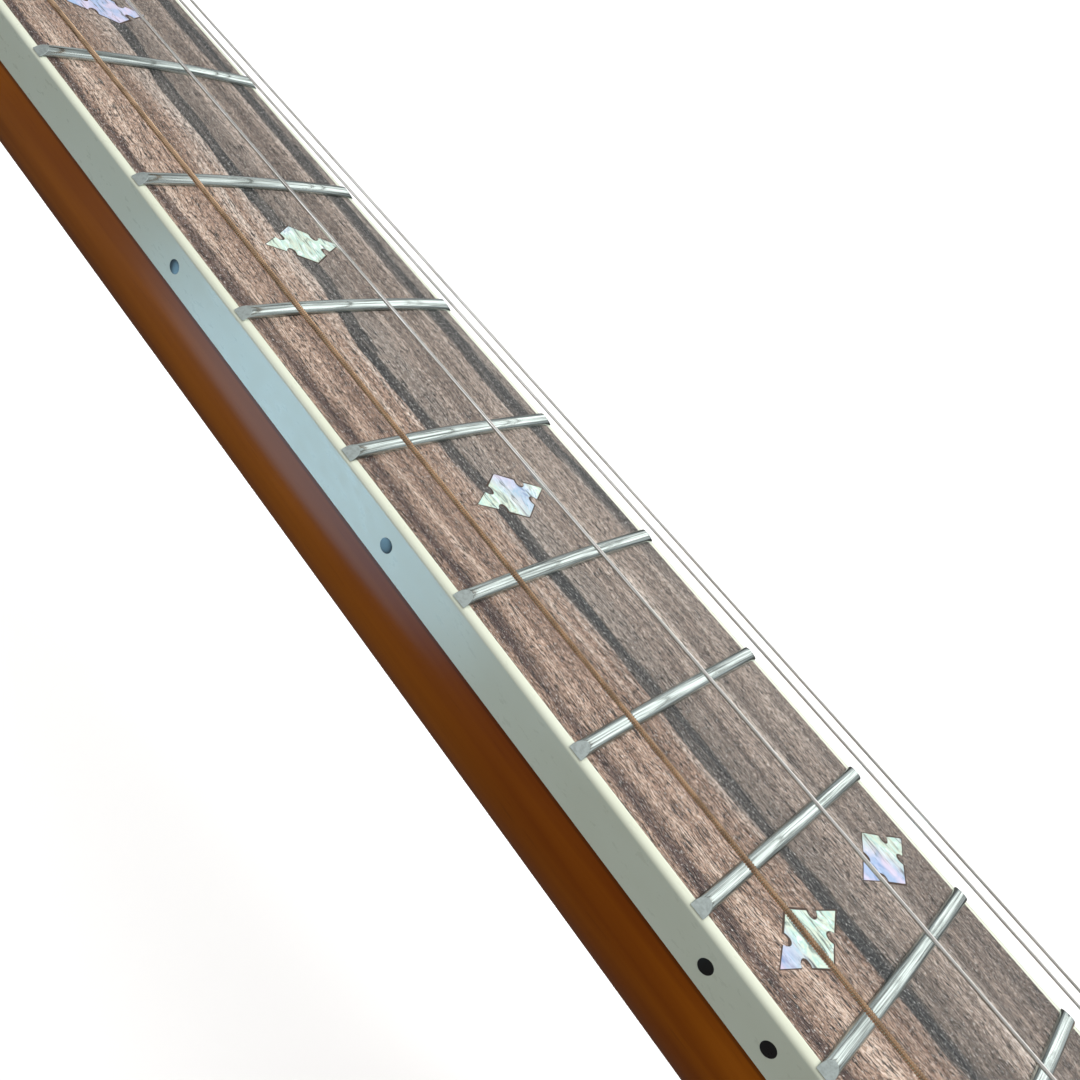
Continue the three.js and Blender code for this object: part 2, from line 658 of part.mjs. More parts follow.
// One stamped plate: a slotted lip for the strings, a flat run over the top, and a tab down the end.
function makeTailpiece() {
  const { front, thick, bottom, halfFront, halfBack, drop } = TAILPIECE;
  const back = BODY_END + 0.4 + thick;
  const side = new THREE.Shape([
    [front, bottom], [back - thick, bottom], [back - thick, drop], [back, drop], [back, bottom + thick],
    [front + thick, bottom + thick], [front + thick, 0.6], [front, 0.6],
  ].map(([x, z]) => new THREE.Vector2(x, z)));
  const strip = new THREE.ExtrudeGeometry(side, { depth: 80, bevelEnabled: false })
    .translate(0, 0, -40).rotateX(Math.PI / 2);
  const plan = new THREE.Shape();
  plan.moveTo(front - 1, -halfFront).lineTo(front + 16, -halfFront);
  plan.bezierCurveTo(front + 40, -halfFront, back - 40, -halfBack, back - 14, -halfBack);
  plan.lineTo(back + 1, -halfBack).lineTo(back + 1, halfBack).lineTo(back - 14, halfBack);
  plan.bezierCurveTo(back - 40, halfBack, front + 40, halfFront, front + 16, halfFront);
  plan.lineTo(front - 1, halfFront).closePath();
  const plate = common(strip, slab(plan, drop - 5, 10, 8));
  const window = new THREE.Shape();
  window.absarc(front + 24, 0, 9, Math.PI / 2, 1.5 * Math.PI, false);
  window.absarc(back - 26, 0, 5, 1.5 * Math.PI, 2.5 * Math.PI, false);
  const slots = STRINGS.map((string) => {
    const reach = string.radius + 0.35;
    const y = stringYAtTail(string);
    return box(front - 1, front + thick + 1, y - reach, y + reach, TAIL_STRING_Z - reach, 5);
  });
  const solid = cut(plate, slab(window, bottom - 2, 0, 6), strapHole(), ...slots);
  return part("tailpiece", solid, "nickel");
}

// Turned button with its screw, along X out of the tail.
function makeStrapButton() {
  const { z, shank, shankLength, head, length } = STRAP;
  const seat = BODY_END + 0.4 + TAILPIECE.thick + GAP;
  const profile = [
    [0, seat + length], [head - 1.5, seat + length], [head, seat + length - 1.2], [head, seat + length - 3],
    [4, seat + length - 5], [3.6, seat + 5], [5.2, seat], [shank, seat], [shank, seat - shankLength],
    [0, seat - shankLength - 3],
  ];
  const solid = turned(profile, 16).rotateY(Math.PI / 2).translate(0, 0, z);
  return part("strap_button", solid, "nickel");
}

// Strings ----------------------------------------------------------------------------------------

function stringYAtTail({ nut, saddle }) {
  return nut + (saddle - nut) * 1.16;
}

// Where a string meets its post, in the neck frame: the tangent point on the side facing the centre line.
function postTangent(string, { x, y, side }) {
  const reach = POST.radius + string.radius + GAP;
  const local = new THREE.Vector3(x, y - side * reach, POST.wrapZ);
  return local.applyAxisAngle(new THREE.Vector3(0, 1, 0), -HEAD_TILT)
    .add(new THREE.Vector3(HEAD.originX, 0, HEAD.originZ));
}

// Round bar with a ring of points square to the path at each of its corners.
function tubeThrough(path, radius, sides) {
  const up = new THREE.Vector3(0, 0, 1);
  return loft(path.map((point, i) => {
    const before = path[Math.max(i - 1, 0)];
    const after = path[Math.min(i + 1, path.length - 1)];
    const along = after.clone().sub(before).normalize();
    const across = new THREE.Vector3().crossVectors(up, along).normalize();
    const over = new THREE.Vector3().crossVectors(along, across);
    const ring = [];
    for (let j = 0; j < sides; j++) {
      const angle = (2 * Math.PI * j) / sides;
      ring.push(point.clone().addScaledVector(across, radius * Math.cos(angle))
        .addScaledVector(over, radius * Math.sin(angle)));
    }
    return ring;
  }));
}

function makeString(string, number) {
  const path = [
    postTangent(string, POSTS[number - 1]),
    new THREE.Vector3(-NUT.thick / 2 - 2, string.nut, NUT_STRING_Z),
    new THREE.Vector3(-0.5, string.nut, NUT_STRING_Z),
    new THREE.Vector3(SCALE - 1, string.saddle, SADDLE_STRING_Z),
    new THREE.Vector3(SCALE + 1, string.saddle, SADDLE_STRING_Z),
    new THREE.Vector3(TAILPIECE.front + TAILPIECE.thick + 1.5, stringYAtTail(string), TAIL_STRING_Z),
  ];
  return part(`string_${number}`, tubeThrough(path, string.radius, 8), number === 1 ? "bronze" : "steel");
}

// Tuners -----------------------------------------------------------------------------------------

const PLATE_TOP = -HEAD.veneer - GAP - HEAD.thick - GAP;
const PLATE_BOTTOM = PLATE_TOP - PLATE.thick;

function makeTunerPlate(post, number) {
  const { near, far, half } = PLATE;
  const outline = new THREE.Shape();
  outline.moveTo(near - 3, -half).quadraticCurveTo(near, -half, near, 3 - half).lineTo(near, half - 3);
  outline.quadraticCurveTo(near, half, near - 3, half).lineTo(4 - far, half);
  outline.bezierCurveTo(-far - 2, half, -far - 2, -half, 4 - far, -half).closePath();
  outline.holes.push(circlePath(0, 0, POST.hole));
  const lugs = [-1, 1].map((side) => {
    const inner = side * LUG.near;
    const outer = side * (LUG.near + LUG.thick);
    return box(WORM.offset - LUG.half, WORM.offset + LUG.half, Math.min(inner, outer),
      Math.max(inner, outer), GEAR.z - LUG.drop, PLATE_BOTTOM + 0.5);
  });
  const blank = join(slab(outline, PLATE_BOTTOM, PLATE_TOP, 4), ...lugs);
  const shaftHole = rod(WORM.hole, -20, 20, 12).translate(WORM.offset, 0, GEAR.z);
  const mesh = part(`tuner_plate_${number}`, cut(blank, shaftHole), "nickel");
  mesh.position.set(post.x, post.y, 0);
  return mesh;
}

// Outline with a gap between teeth at angle zero, where the worm's thread sits.
function gearShape() {
  const { teeth, tip, root } = GEAR;
  const pitch = (2 * Math.PI) / teeth;
  const corners = [[-0.25, root], [-0.15, tip], [0.15, tip], [0.25, root]];
  const points = [];
  for (let i = 0; i < teeth; i++) {
    for (const [share, radius] of corners) {
      const angle = (i + 0.5 + share) * pitch;
      points.push(new THREE.Vector2(radius * Math.cos(angle), radius * Math.sin(angle)));
    }
  }
  return new THREE.Shape(points);
}

// Post with its gear; the origin is on the post's axis.
function makeTunerPost(post, number) {
  const { radius, top } = POST;
  const { z, width } = GEAR;
  const gear = slab(gearShape(), z - width / 2, z + width / 2);
  const profile = [
    [0, top], [radius - 0.8, top], [radius, top - 0.8], [radius, z], [2.2, z], [2.2, z - width / 2 - 1],
    [0, z - width / 2 - 1],
  ];
  const mesh = part(`tuner_post_${number}`, join(gear, turned(profile, 14)), "nickel");
  mesh.position.set(post.x, post.y, 0);
  return mesh;
}

// Helical ridge round the Y axis, with its crest at y = 0 on the side that faces the gear.
function wormThread() {
  const { core, crest, pitch, half } = WORM;
  const steps = 8;
  const last = Math.floor(((half - 1) / pitch) * steps);
  const rings = [];
  for (let i = -last; i <= last; i++) {
    const angle = -Math.PI / 2 + (2 * Math.PI * i) / steps;
    const y = (pitch * i) / steps;
    rings.push([[core - 0.5, -0.55], [crest, -0.22], [crest, 0.22], [core - 0.5, 0.55]].map(([r, side]) =>
      new THREE.Vector3(r * Math.sin(angle), y + side, r * Math.cos(angle))));
  }
  return loft(rings);
}

// Flat oval knob along Y, starting beside the headstock's edge.
function buttonKnob(side) {
  const stations = [[0, 2.2, 2.2], [1.5, 3.4, 3], [4, 6.8, 3.5], [9, 8.2, 3.9], [14, 7, 3.6], [17, 3.4, 2.2]];
  return loft(stations.map(([along, wide, deep]) => {
    const ring = [];
    for (let j = 0; j < 12; j++) {
      const angle = (2 * Math.PI * j) / 12;
      const y = side * (BUTTON.start + along);
      ring.push(new THREE.Vector3(wide * Math.cos(angle), y, deep * Math.sin(angle)));
    }
    return ring;
  }));
}

// Worm shaft with its button; the origin is on the shaft's axis beside the post.
function makeTunerButton(post, number) {
  const { core, shaft, half, offset } = WORM;
  const inner = -post.side * (LUG.near + LUG.thick + 1);
  const outer = post.side * (BUTTON.start + 2);
  const axle = rod(shaft, Math.min(inner, outer), Math.max(inner, outer), 8);
  const solid = join(axle, rod(core, -half, half, 8), wormThread(), buttonKnob(post.side));
  const mesh = part(`tuner_button_${number}`, solid, "nickel");
  mesh.position.set(post.x + offset, post.y, GEAR.z);
  return mesh;
}

function makeTuners() {
  return POSTS.flatMap((post, i) => [
    makeTunerPlate(post, i + 1), makeTunerPost(post, i + 1), makeTunerButton(post, i + 1),
  ]);
}

// Assembly ---------------------------------------------------------------------------------------

const guitar = new THREE.Group();
guitar.add(makeBodyTop(), makeBodySides(), makeBodyBack(), makeTopBinding(), makeBackBinding());
guitar.add(makeNeckBlock(), makeTailBlock());
guitar.add(makeSoundHoleScreen("bass_sound_hole_screen", -1));
guitar.add(makeSoundHoleScreen("treble_sound_hole_screen", 1));
guitar.add(makeSoundwell(), makeCone(), makeSpider(), makeSaddle(), makeTensionScrew());
guitar.add(makeCoverplate(), makeHandRest(), makeTailpiece(), makeStrapButton());
guitar.add(makeNeck(), makeTrussRod(), makeFretboard(), makeFretboardBinding(), makeNut());
for (let n = 1; n <= FRET_COUNT; n++) guitar.add(makeFret(n));
STRINGS.forEach((string, i) => guitar.add(makeString(string, i + 1)));

const headPieces = new THREE.Group();
headPieces.add(makeHeadstockVeneer(), makeTrussRodCover(), ...makeTuners());
guitar.add(tilt(headPieces));

guitar.updateMatrixWorld(true);
const bounds = new THREE.Box3().setFromObject(guitar, true);
const centre = bounds.getCenter(new THREE.Vector3());
guitar.position.set(-centre.x, -centre.y, -bounds.min.z);
guitar.updateMatrixWorld(true);

export default guitar;
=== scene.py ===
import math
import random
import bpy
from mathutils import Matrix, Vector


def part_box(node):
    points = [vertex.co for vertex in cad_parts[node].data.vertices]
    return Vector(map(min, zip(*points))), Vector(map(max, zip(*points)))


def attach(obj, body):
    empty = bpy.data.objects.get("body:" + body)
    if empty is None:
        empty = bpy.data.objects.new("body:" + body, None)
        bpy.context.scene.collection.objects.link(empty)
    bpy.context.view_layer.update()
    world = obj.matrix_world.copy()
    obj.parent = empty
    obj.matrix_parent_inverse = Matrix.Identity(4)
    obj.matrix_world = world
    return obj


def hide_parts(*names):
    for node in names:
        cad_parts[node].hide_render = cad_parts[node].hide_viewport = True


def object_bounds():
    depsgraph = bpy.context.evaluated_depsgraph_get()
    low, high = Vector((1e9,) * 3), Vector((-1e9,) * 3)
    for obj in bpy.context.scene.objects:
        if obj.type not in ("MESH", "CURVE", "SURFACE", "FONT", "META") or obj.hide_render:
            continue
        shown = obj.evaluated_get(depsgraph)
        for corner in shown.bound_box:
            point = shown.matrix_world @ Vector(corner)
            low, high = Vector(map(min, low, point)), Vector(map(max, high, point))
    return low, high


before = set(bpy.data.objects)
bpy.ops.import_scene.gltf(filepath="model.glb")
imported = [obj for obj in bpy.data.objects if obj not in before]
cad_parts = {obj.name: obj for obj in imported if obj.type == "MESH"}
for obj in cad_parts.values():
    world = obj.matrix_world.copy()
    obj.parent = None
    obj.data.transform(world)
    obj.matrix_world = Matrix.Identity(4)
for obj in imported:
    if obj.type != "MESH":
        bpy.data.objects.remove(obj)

# Resonator guitar: fine pieces, materials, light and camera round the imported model.
#
# Shapes are made in millimetres, most of them in the neck frame: x = 0 is the nut's front face and x grows
# towards the tail, y = 0 is the centre line and grows towards the treble side, and z = 0 is the top edge of
# the fretboard binding. The headstock has a frame of its own, tilted back from the nut. piece() puts a shape
# into the row frame in metres.
from types import SimpleNamespace as Sizes

import bmesh
import bpy
from mathutils import Matrix, Vector

CAD_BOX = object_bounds()

# --- Places from the frame

MM = 0.001
TURN, QUARTER = 2 * math.pi, math.pi / 2
ORIGIN = Vector((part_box("fretboard")[0].x, 0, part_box("fretboard_binding")[1].z))
NECK = Matrix.Translation(ORIGIN) @ Matrix.Scale(MM, 4)
HEAD_TILT = math.radians(13)
HEAD_PIVOT = Vector((-5.8, 0, -3))
HEAD = NECK @ Matrix.Translation(HEAD_PIVOT) @ Matrix.Rotation(-HEAD_TILT, 4, "Y")


def low(node):
    """Lowest corner of a CAD node in the neck frame, in millimetres."""
    return (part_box(node)[0] - ORIGIN) / MM


def high(node):
    """Highest corner of a CAD node in the neck frame, in millimetres."""
    return (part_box(node)[1] - ORIGIN) / MM


SCALE = (low("saddle").x + high("saddle").x) / 2
FRET_COUNT = sum(name.startswith("fret_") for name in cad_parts)
BOARD_END = high("fretboard_binding").x
HALF_AT_NUT = high("nut").y
HALF_AT_END = high("fretboard_binding").y
BOARD_BOTTOM = low("fretboard").z
ARCH_RADIUS = 305
BINDING = 1.2
BODY_BINDING = 1.6
WOOD_TOP = high("body_top").z
BODY_START, BODY_END = low("body_sides").x, high("body_sides").x
BODY_BOTTOM = low("body_back").z
PLATE_THICK = 3.5
SEAM = 0.05                     # what is left between glued pieces


def fret_x(n):
    return SCALE * (1 - 2 ** (-n / 12))


def space_middle(n):
    return (fret_x(n - 1) + fret_x(n)) / 2


def board_half(x):
    return HALF_AT_NUT + (HALF_AT_END - HALF_AT_NUT) * x / BOARD_END


def arch_z(x, y):
    """Height of the arched board above the binding's top edge."""
    return (board_half(x) ** 2 - y ** 2) / (2 * ARCH_RADIUS)


# --- Mesh helpers


def smoothstep(a, b, x):
    t = min(1, max(0, (x - a) / (b - a)))
    return t * t * (3 - 2 * t)


def quarter(share):
    """How far a circle's quarter falls from its top, after a share of its radius sideways."""
    return 1 - math.sqrt(max(0, 1 - share ** 2))


def signed_power(value, power):
    return math.copysign(abs(value) ** power, value)


def tidy(mesh):
    bm = bmesh.new()
    bm.from_mesh(mesh)
    bmesh.ops.remove_doubles(bm, verts=bm.verts, dist=0.0005)
    bmesh.ops.recalc_face_normals(bm, faces=bm.faces)
    bm.to_mesh(mesh)
    bm.free()
    return mesh


def new_mesh(points, faces):
    mesh = bpy.data.meshes.new("shape")
    mesh.from_pydata([tuple(p) for p in points], [], faces)
    return tidy(mesh)


def joined(*meshes):
    bm = bmesh.new()
    for mesh in meshes:
        bm.from_mesh(mesh)
    result = bpy.data.meshes.new("shape")
    bm.to_mesh(result)
    bm.free()
    return result


def moved(mesh, *matrices):
    """A copy of the mesh at each matrix, as one mesh."""
    copies = []
    for matrix in matrices:
        copies.append(mesh.copy())
        copies[-1].transform(matrix)
    return joined(*copies)


def at(x, y, z, turn=0, axis="Z"):
    return Matrix.Translation((x, y, z)) @ Matrix.Rotation(turn, 4, axis)


def linked(name, data):
    """A new object in the scene."""
    made = bpy.data.objects.new(name, data)
    bpy.context.scene.collection.objects.link(made)
    return made


def evaluated(holder):
    """The mesh that an object gives; the object goes."""
    graph = bpy.context.evaluated_depsgraph_get()
    result = bpy.data.meshes.new_from_object(holder.evaluated_get(graph))
    bpy.data.objects.remove(holder)
    return result


def worked(mesh, kind, **settings):
    """The mesh after one modifier."""
    holder = linked("work", mesh)
    modifier = holder.modifiers.new(kind, kind)
    for setting, value in settings.items():
        setattr(modifier, setting, value)
    return evaluated(holder)


def combined(mesh, tool, operation):
    other = linked("tool", tool)
    result = worked(mesh, "BOOLEAN", operation=operation, solver="EXACT", object=other)
    bpy.data.objects.remove(other)
    return result


def cut(mesh, *tools):
    return combined(mesh, joined(*tools), "DIFFERENCE")


def common(mesh, tool):
    return combined(mesh, tool, "INTERSECT")


def bevelled(mesh, width, segments=2, angle=30):
    return worked(mesh, "BEVEL", width=width, segments=segments, limit_method="ANGLE",
                  angle_limit=math.radians(angle))


def loft(rings):
    """Closed skin through rings with equal numbers of points."""
    count = len(rings[0])
    points = [p for ring in rings for p in ring]
    faces = [
        (i + j, i + (j + 1) % count, i + count + (j + 1) % count, i + count + j)
        for i in range(0, len(points) - count, count) for j in range(count)
    ]
    ends = [tuple(range(count)), tuple(range(len(points) - count, len(points)))]
    return new_mesh(points, faces + ends)


def box(x0, x1, y0, y1, z0, z1):
    return loft([[(x, y0, z0), (x, y1, z0), (x, y1, z1), (x, y0, z1)] for x in (x0, x1)])


def polar(radius, angle):
    return radius * math.cos(angle), radius * math.sin(angle)


def lathe(profile, segments=48):
    """Profile of (radius, z) pairs turned about the Z axis; its ends lie on the axis, or it is a loop."""
    loop = profile[0][0] > 0
    rows = len(profile)
    points = []
    for i in range(segments):
        points += [(*polar(r, TURN * i / segments), z) for r, z in profile]
    faces = []
    for i in range(segments):
        here, there = i * rows, (i + 1) % segments * rows
        for j in range(rows if loop else rows - 1):
            k = (j + 1) % rows
            faces.append((here + j, there + j, there + k, here + k))
    return new_mesh(points, faces)


def cylinder(radius, start, end, segments):
    return lathe([(0, start), (radius, start), (radius, end), (0, end)], segments)


def heading(path, i):
    """Direction of the path at its point i."""
    return (path[min(i + 1, len(path) - 1)] - path[max(i - 1, 0)]).normalized()


def tube(path, radius, sides=8):
    """Round bar along a path, with rings square to it that don't twist."""
    rings, across = [], None
    for i, point in enumerate(path):
        along = heading(path, i)
        across = along.orthogonal() if across is None else across
        across = (across - along * across.dot(along)).normalized()
        over = along.cross(across)
        angles = [TURN * j / sides for j in range(sides)]
        rings.append([point + (across * math.cos(a) + over * math.sin(a)) * radius for a in angles])
    return loft(rings)


def rounded_rectangle(half_wide, half_tall, radius, steps=3):
    radius = min(radius, half_wide, half_tall)
    points = []
    for turn, (sx, sy) in enumerate([(1, 1), (-1, 1), (-1, -1), (1, -1)]):
        for i in range(steps + 1):
            angle = QUARTER * (turn + i / steps)
            points.append((sx * (half_wide - radius) + radius * math.cos(angle),
                           sy * (half_tall - radius) + radius * math.sin(angle)))
    return points


def bar(path, half_widths, thick, across, radius=0.5):
    """Flat bar along a path, with rounded edges; across is the direction of its width."""
    rings = []
    for i, point in enumerate(path):
        out = heading(path, i).cross(across).normalized()
        rings.append([point + across * a + out * b
                      for a, b in rounded_rectangle(half_widths[i], thick / 2, radius)])
    return loft(rings)


def filleted(points, reach, steps=5):
    """The path with each inner corner replaced by a curve that starts reach before it."""
    points = [Vector(p) for p in points]
    path = [points[0]]
    for before, corner, after in zip(points, points[1:], points[2:]):
        start = corner + (before - corner).normalized() * reach
        end = corner + (after - corner).normalized() * reach
        for i in range(steps + 1):
            t = i / steps
            path.append(start.lerp(corner, t).lerp(corner.lerp(end, t), t))
    return path + [points[-1]]


def arc(x, y, radius, start, end, steps):
    """Points on an arc between two angles in degrees, both ends included."""
    angles = [math.radians(start + (end - start) * i / steps) for i in range(steps + 1)]
    return [(x + radius * math.cos(a), y + radius * math.sin(a)) for a in angles]


def bezier(a, b, c, d, steps):
    """Points of a cubic curve without its last one."""
    points = []
    for i in range(steps):
        t = i / steps
        u = 1 - t
        points.append(u ** 3 * Vector(a) + 3 * u * u * t * Vector(b) + 3 * u * t * t * Vector(c)
                      + t ** 3 * Vector(d))
    return points


def circle(x, y, radius, steps=64):
    return arc(x, y, radius, 0, 360, steps)[:-1]


def mirrored(half):
    """Loop of points in the plane from its half with y >= 0; the ends that lie on y = 0 aren't repeated."""
    return [*half, *[Vector((p.x, -p.y)) for p in reversed(half) if p.y]]


def plate(outlines, z0, z1, edge=0.0):
    """Flat plate from z0 to z1 inside the first outline and outside the others, with rounded edges."""
    curve = bpy.data.curves.new("shape", "CURVE")
    curve.dimensions, curve.fill_mode = "2D", "BOTH"
    curve.extrude, curve.offset = (z1 - z0) / 2 - edge, -edge
    curve.bevel_depth, curve.bevel_resolution = edge, 2
    for outline in outlines:
        spline = curve.splines.new("POLY")
        spline.points.add(len(outline) - 1)
        for spot, (x, y) in zip(spline.points, outline):
            spot.co = (x, y, 0, 1)
        spline.use_cyclic_u = True
    mesh = evaluated(linked("work", curve))
    mesh.transform(Matrix.Translation((0, 0, (z0 + z1) / 2)))
    return tidy(mesh)


# --- Material helpers


def linear(colour):
    """Linear colour from three 0-255 display values; a colour of four numbers or a socket stays as it is."""
    if not isinstance(colour, tuple) or len(colour) == 4:
        return colour
    levels = [v / 255 for v in colour]
    return (*[v / 12.92 if v <= 0.04045 else ((v + 0.055) / 1.055) ** 2.4 for v in levels], 1)


class Graph:
    """Nodes of a material or world. Each method adds nodes to it and gives back their output."""

    def __init__(self, owner):
        owner.use_nodes = True
        self.nodes, self.links = owner.node_tree.nodes, owner.node_tree.links

    def add(self, kind, inputs, output=0, **attributes):
        made = self.nodes.new("ShaderNode" + kind)
        for attribute, value in attributes.items():
            setattr(made, attribute, value)
        for socket, value in inputs.items():
            if isinstance(value, bpy.types.NodeSocket):
                self.links.new(value, made.inputs[socket])
            else:
                made.inputs[socket].default_value = value
        return made.outputs[output]

    def place(self, *sizes):
        """Place in the neck frame, divided by the sizes in millimetres of the pattern's features."""
        coordinates = self.add("TexCoord", {}, "Object")
        shifted = self.add("VectorMath", {0: coordinates, 1: ORIGIN}, operation="SUBTRACT")
        shares = [1 / (size * MM) for size in sizes or (1, 1, 1)]
        return self.add("VectorMath", {0: shifted, 1: shares}, operation="MULTIPLY")

    def noise(self, where, detail=2.0, roughness=0.5, distortion=0.0, scale=1.0):
        """Noise over a vector, or over the neck frame with features of three sizes in millimetres."""
        vector = self.place(*where) if isinstance(where, tuple) else where
        return self.add("TexNoise", {"Vector": vector, "Scale": scale, "Detail": detail,
                                     "Roughness": roughness, "Distortion": distortion}, "Fac")

    def remap(self, value, low_in, high_in, low_out=0.0, high_out=1.0, kind="LINEAR"):
        return self.add("MapRange", {"Value": value, "From Min": low_in, "From Max": high_in,
                                     "To Min": low_out, "To Max": high_out}, interpolation_type=kind)

    def spread(self, value, start, end):
        """Most of a noise's range, mapped from start to end."""
        return self.remap(value, 0.3, 0.7, start, end)

    def math(self, operation, a, b=0.0):
        return self.add("Math", {0: a, 1: b}, operation=operation)

    def plus(self, a, b):
        return self.math("ADD", a, b)

    def times(self, a, b):
        return self.math("MULTIPLY", a, b)

    def mix(self, factor, a, b, blend="MIX"):
        return self.add("Mix", {"Factor": factor, 6: linear(a), 7: linear(b)}, 2, data_type="RGBA",
                        blend_type=blend)

    def ramp(self, value, *stops):
        made = self.add("ValToRGB", {"Fac": value}).node
        elements = made.color_ramp.elements
        while len(elements) < len(stops):
            elements.new(0.5)
        for element, (place, colour) in zip(elements, stops):
            element.position, element.color = place, linear(colour)
        return made.outputs["Color"]

    def vector(self, x, y=0.0, z=0.0):
        return self.add("CombineXYZ", {0: x, 1: y, 2: z})

    def parts(self, vector):
        return self.add("SeparateXYZ", {0: vector}).node.outputs


class Look(Graph):
    """Material made of one Principled shader; constants set its sockets."""

    def __init__(self, name, **constants):
        self.material = bpy.data.materials.new(name)
        super().__init__(self.material)
        self.shader = self.nodes["Principled BSDF"]
        for socket, value in constants.items():
            self.shader.inputs[socket.replace("_", " ")].default_value = value

    def finish(self, colour, roughness=None, height=None, depth=0.05, strength=1.0):
        """Connects the colour, and the roughness and a bump of that depth in millimetres if given."""
        self.links.new(colour, self.shader.inputs["Base Color"])
        if roughness is not None:
            self.links.new(roughness, self.shader.inputs["Roughness"])
        if height is not None:
            normal = self.add("Bump", {"Height": height, "Strength": strength, "Distance": depth * MM})
            self.links.new(normal, self.shader.inputs["Normal"])
        return self.material


# --- Materials


def make_rosewood():
    look = Look("striped_rosewood")
    x, y, _ = look.parts(look.place())
    drift = look.noise((70, 30, 30), detail=1)
    fine_drift = look.noise((9, 5, 5), detail=2)
    across = look.plus(y, look.plus(look.spread(drift, -1.4, 1.4), look.spread(fine_drift, -0.25, 0.25)))
    grain_at = look.vector(x, across)

    def grain(long, wide, **settings):
        stretched = look.add("VectorMath", {0: grain_at, 1: (1 / long, 1 / wide, 1)}, operation="MULTIPLY")
        return look.noise(stretched, **settings)

    bands = grain(150, 5.5, detail=2)
    streaks = grain(30, 1.1, detail=4, roughness=0.6)
    flecks = grain(0.7, 0.17, detail=3, roughness=0.75)
    tone = look.plus(look.times(bands, 0.36), look.plus(look.times(streaks, 0.26), look.times(flecks, 0.52)))
    colour = look.ramp(tone, (0.44, (50, 42, 38)), (0.53, (115, 101, 91)),
                       (0.60, (160, 144, 131)), (0.69, (216, 205, 194)))
    streaked = look.plus(y, look.spread(streaks, -4.0, 4.0))
    warm = look.remap(streaked, -2.0, -9.0, 0.0, 0.46, "SMOOTHSTEP")
    colour = look.mix(warm, colour, (186, 138, 102), "SOFT_LIGHT")

    def stripe(centre, half, soft, dark, amount, presence=1.0):
        nonlocal colour
        ragged = look.spread(grain(14, 1.2, detail=4), -0.6, 0.6)
        edge = look.plus(look.math("ABSOLUTE", look.math("SUBTRACT", y, centre)), ragged)
        mask = look.remap(edge, half + soft, half, 0.0, amount, "SMOOTHSTEP")
        mask = look.times(mask, look.remap(streaks, 0.35, 0.7, 1.1, 0.72))
        colour = look.mix(look.times(mask, presence), colour, dark)

    def path(*steps):
        """Sideways place along the board: (x from, x to, y added)."""
        total = 0.0
        for start, end, added in steps:
            total = look.plus(total, look.remap(x, start, end, 0.0, added, "SMOOTHSTEP"))
        return total

    slate = (44, 47, 48)
    middle = path((130, 187, -1.6), (205, 222, -2.4), (236, 248, 0.8), (300, 350, 1.0))
    stripe(look.plus(middle, 2.6), 1.7, 2.0, (92, 84, 77), 0.6)
    stripe(middle, 1.1, 0.5, slate, 0.95)
    far = look.plus(path((120, 190, 0.8), (228, 250, 2.6), (280, 330, -1.6)), 14.2)
    fades = look.remap(x, 246, 268, 1.0, 0.2)
    stripe(look.plus(far, 2.6), 2.2, 1.4, (86, 80, 75), 0.7, fades)
    stripe(far, 1.2, 0.6, slate, 0.92, fades)
    stripe(10.6, 0.5, 1.6, (70, 60, 55), 0.6, look.remap(x, 262, 276))
    near = look.plus(path((60, 180, -1.0), (250, 330, -1.4)), -16.2)
    stripe(near, 0.3, 1.1, (62, 44, 42), 0.85)

    pore = look.remap(grain(0.9, 0.13, detail=3, roughness=0.6), 0.56, 0.59)
    long_pore = look.remap(grain(3.2, 0.17, detail=2), 0.595, 0.62)
    holes = look.math("MAXIMUM", pore, long_pore)
    colour = look.mix(look.times(holes, 0.97), colour, (20, 20, 21))
    # Painted glints: near-white flecks in the colour stand in for light catching the grain.
    painted_glints = look.remap(grain(0.45, 0.14, detail=3, roughness=0.7), 0.585, 0.67, 0.0, 0.9)
    colour = look.mix(painted_glints, colour, (226, 226, 221))
    height = look.math("SUBTRACT", look.times(flecks, 0.6), holes)
    roughness = look.spread(flecks, 0.36, 0.6)
    return look.finish(colour, roughness, height, depth=0.12, strength=0.8)


def make_amber_wood():
    look = Look("amber_lacquered_wood", Coat_Weight=0.22, Coat_Roughness=0.12, Specular_IOR_Level=0.06)
    _, _, z = look.parts(look.place())
    drift = look.noise((90, 16, 16), detail=3)
    streaks = look.noise((45, 2.2, 2.2), detail=4, roughness=0.55, distortion=0.4)
    pores = look.noise((5, 0.3, 0.3), detail=2, roughness=0.6)
    tone = look.plus(look.times(drift, 0.75), look.times(streaks, 0.25))
    colour = look.ramp(tone, (0.34, (128, 60, 6)), (0.5, (152, 80, 10)), (0.66, (176, 98, 20)))
    colour = look.mix(look.remap(pores, 0.62, 0.74, 0.0, 0.22), colour, (84, 36, 6))
    # Painted shade: the colour darkens below the body's top, so the neck's underside, the rim and the back
    # carry shade in their colour.
    shade = look.remap(z, WOOD_TOP - 8, WOOD_TOP - 20, 0.0, 0.6, "SMOOTHSTEP")
    colour = look.mix(shade, colour, (128, 48, 2))
    joint = look.remap(z, WOOD_TOP - 0.5, WOOD_TOP - 0.1, 0.0, 0.6, "SMOOTHSTEP")
    colour = look.mix(joint, colour, (70, 30, 6))
    roughness = look.remap(drift, 0.35, 0.65, 0.36, 0.46)
    return look.finish(colour, roughness, streaks, depth=0.02, strength=0.2)


def make_plain_wood(name, dark, light, pore, roughness=0.6, **constants):
    look = Look(name, Roughness=roughness, **constants)
    streaks = look.noise((50, 1.2, 1.2), detail=4, roughness=0.6, distortion=0.3)
    pores = look.noise((5, 0.25, 0.25), detail=2)
    colour = look.ramp(streaks, (0.35, dark), (0.65, light))
    colour = look.mix(look.remap(pores, 0.6, 0.7, 0.0, 0.5), colour, pore)
    return look.finish(colour, None, pores, depth=0.04, strength=0.5)


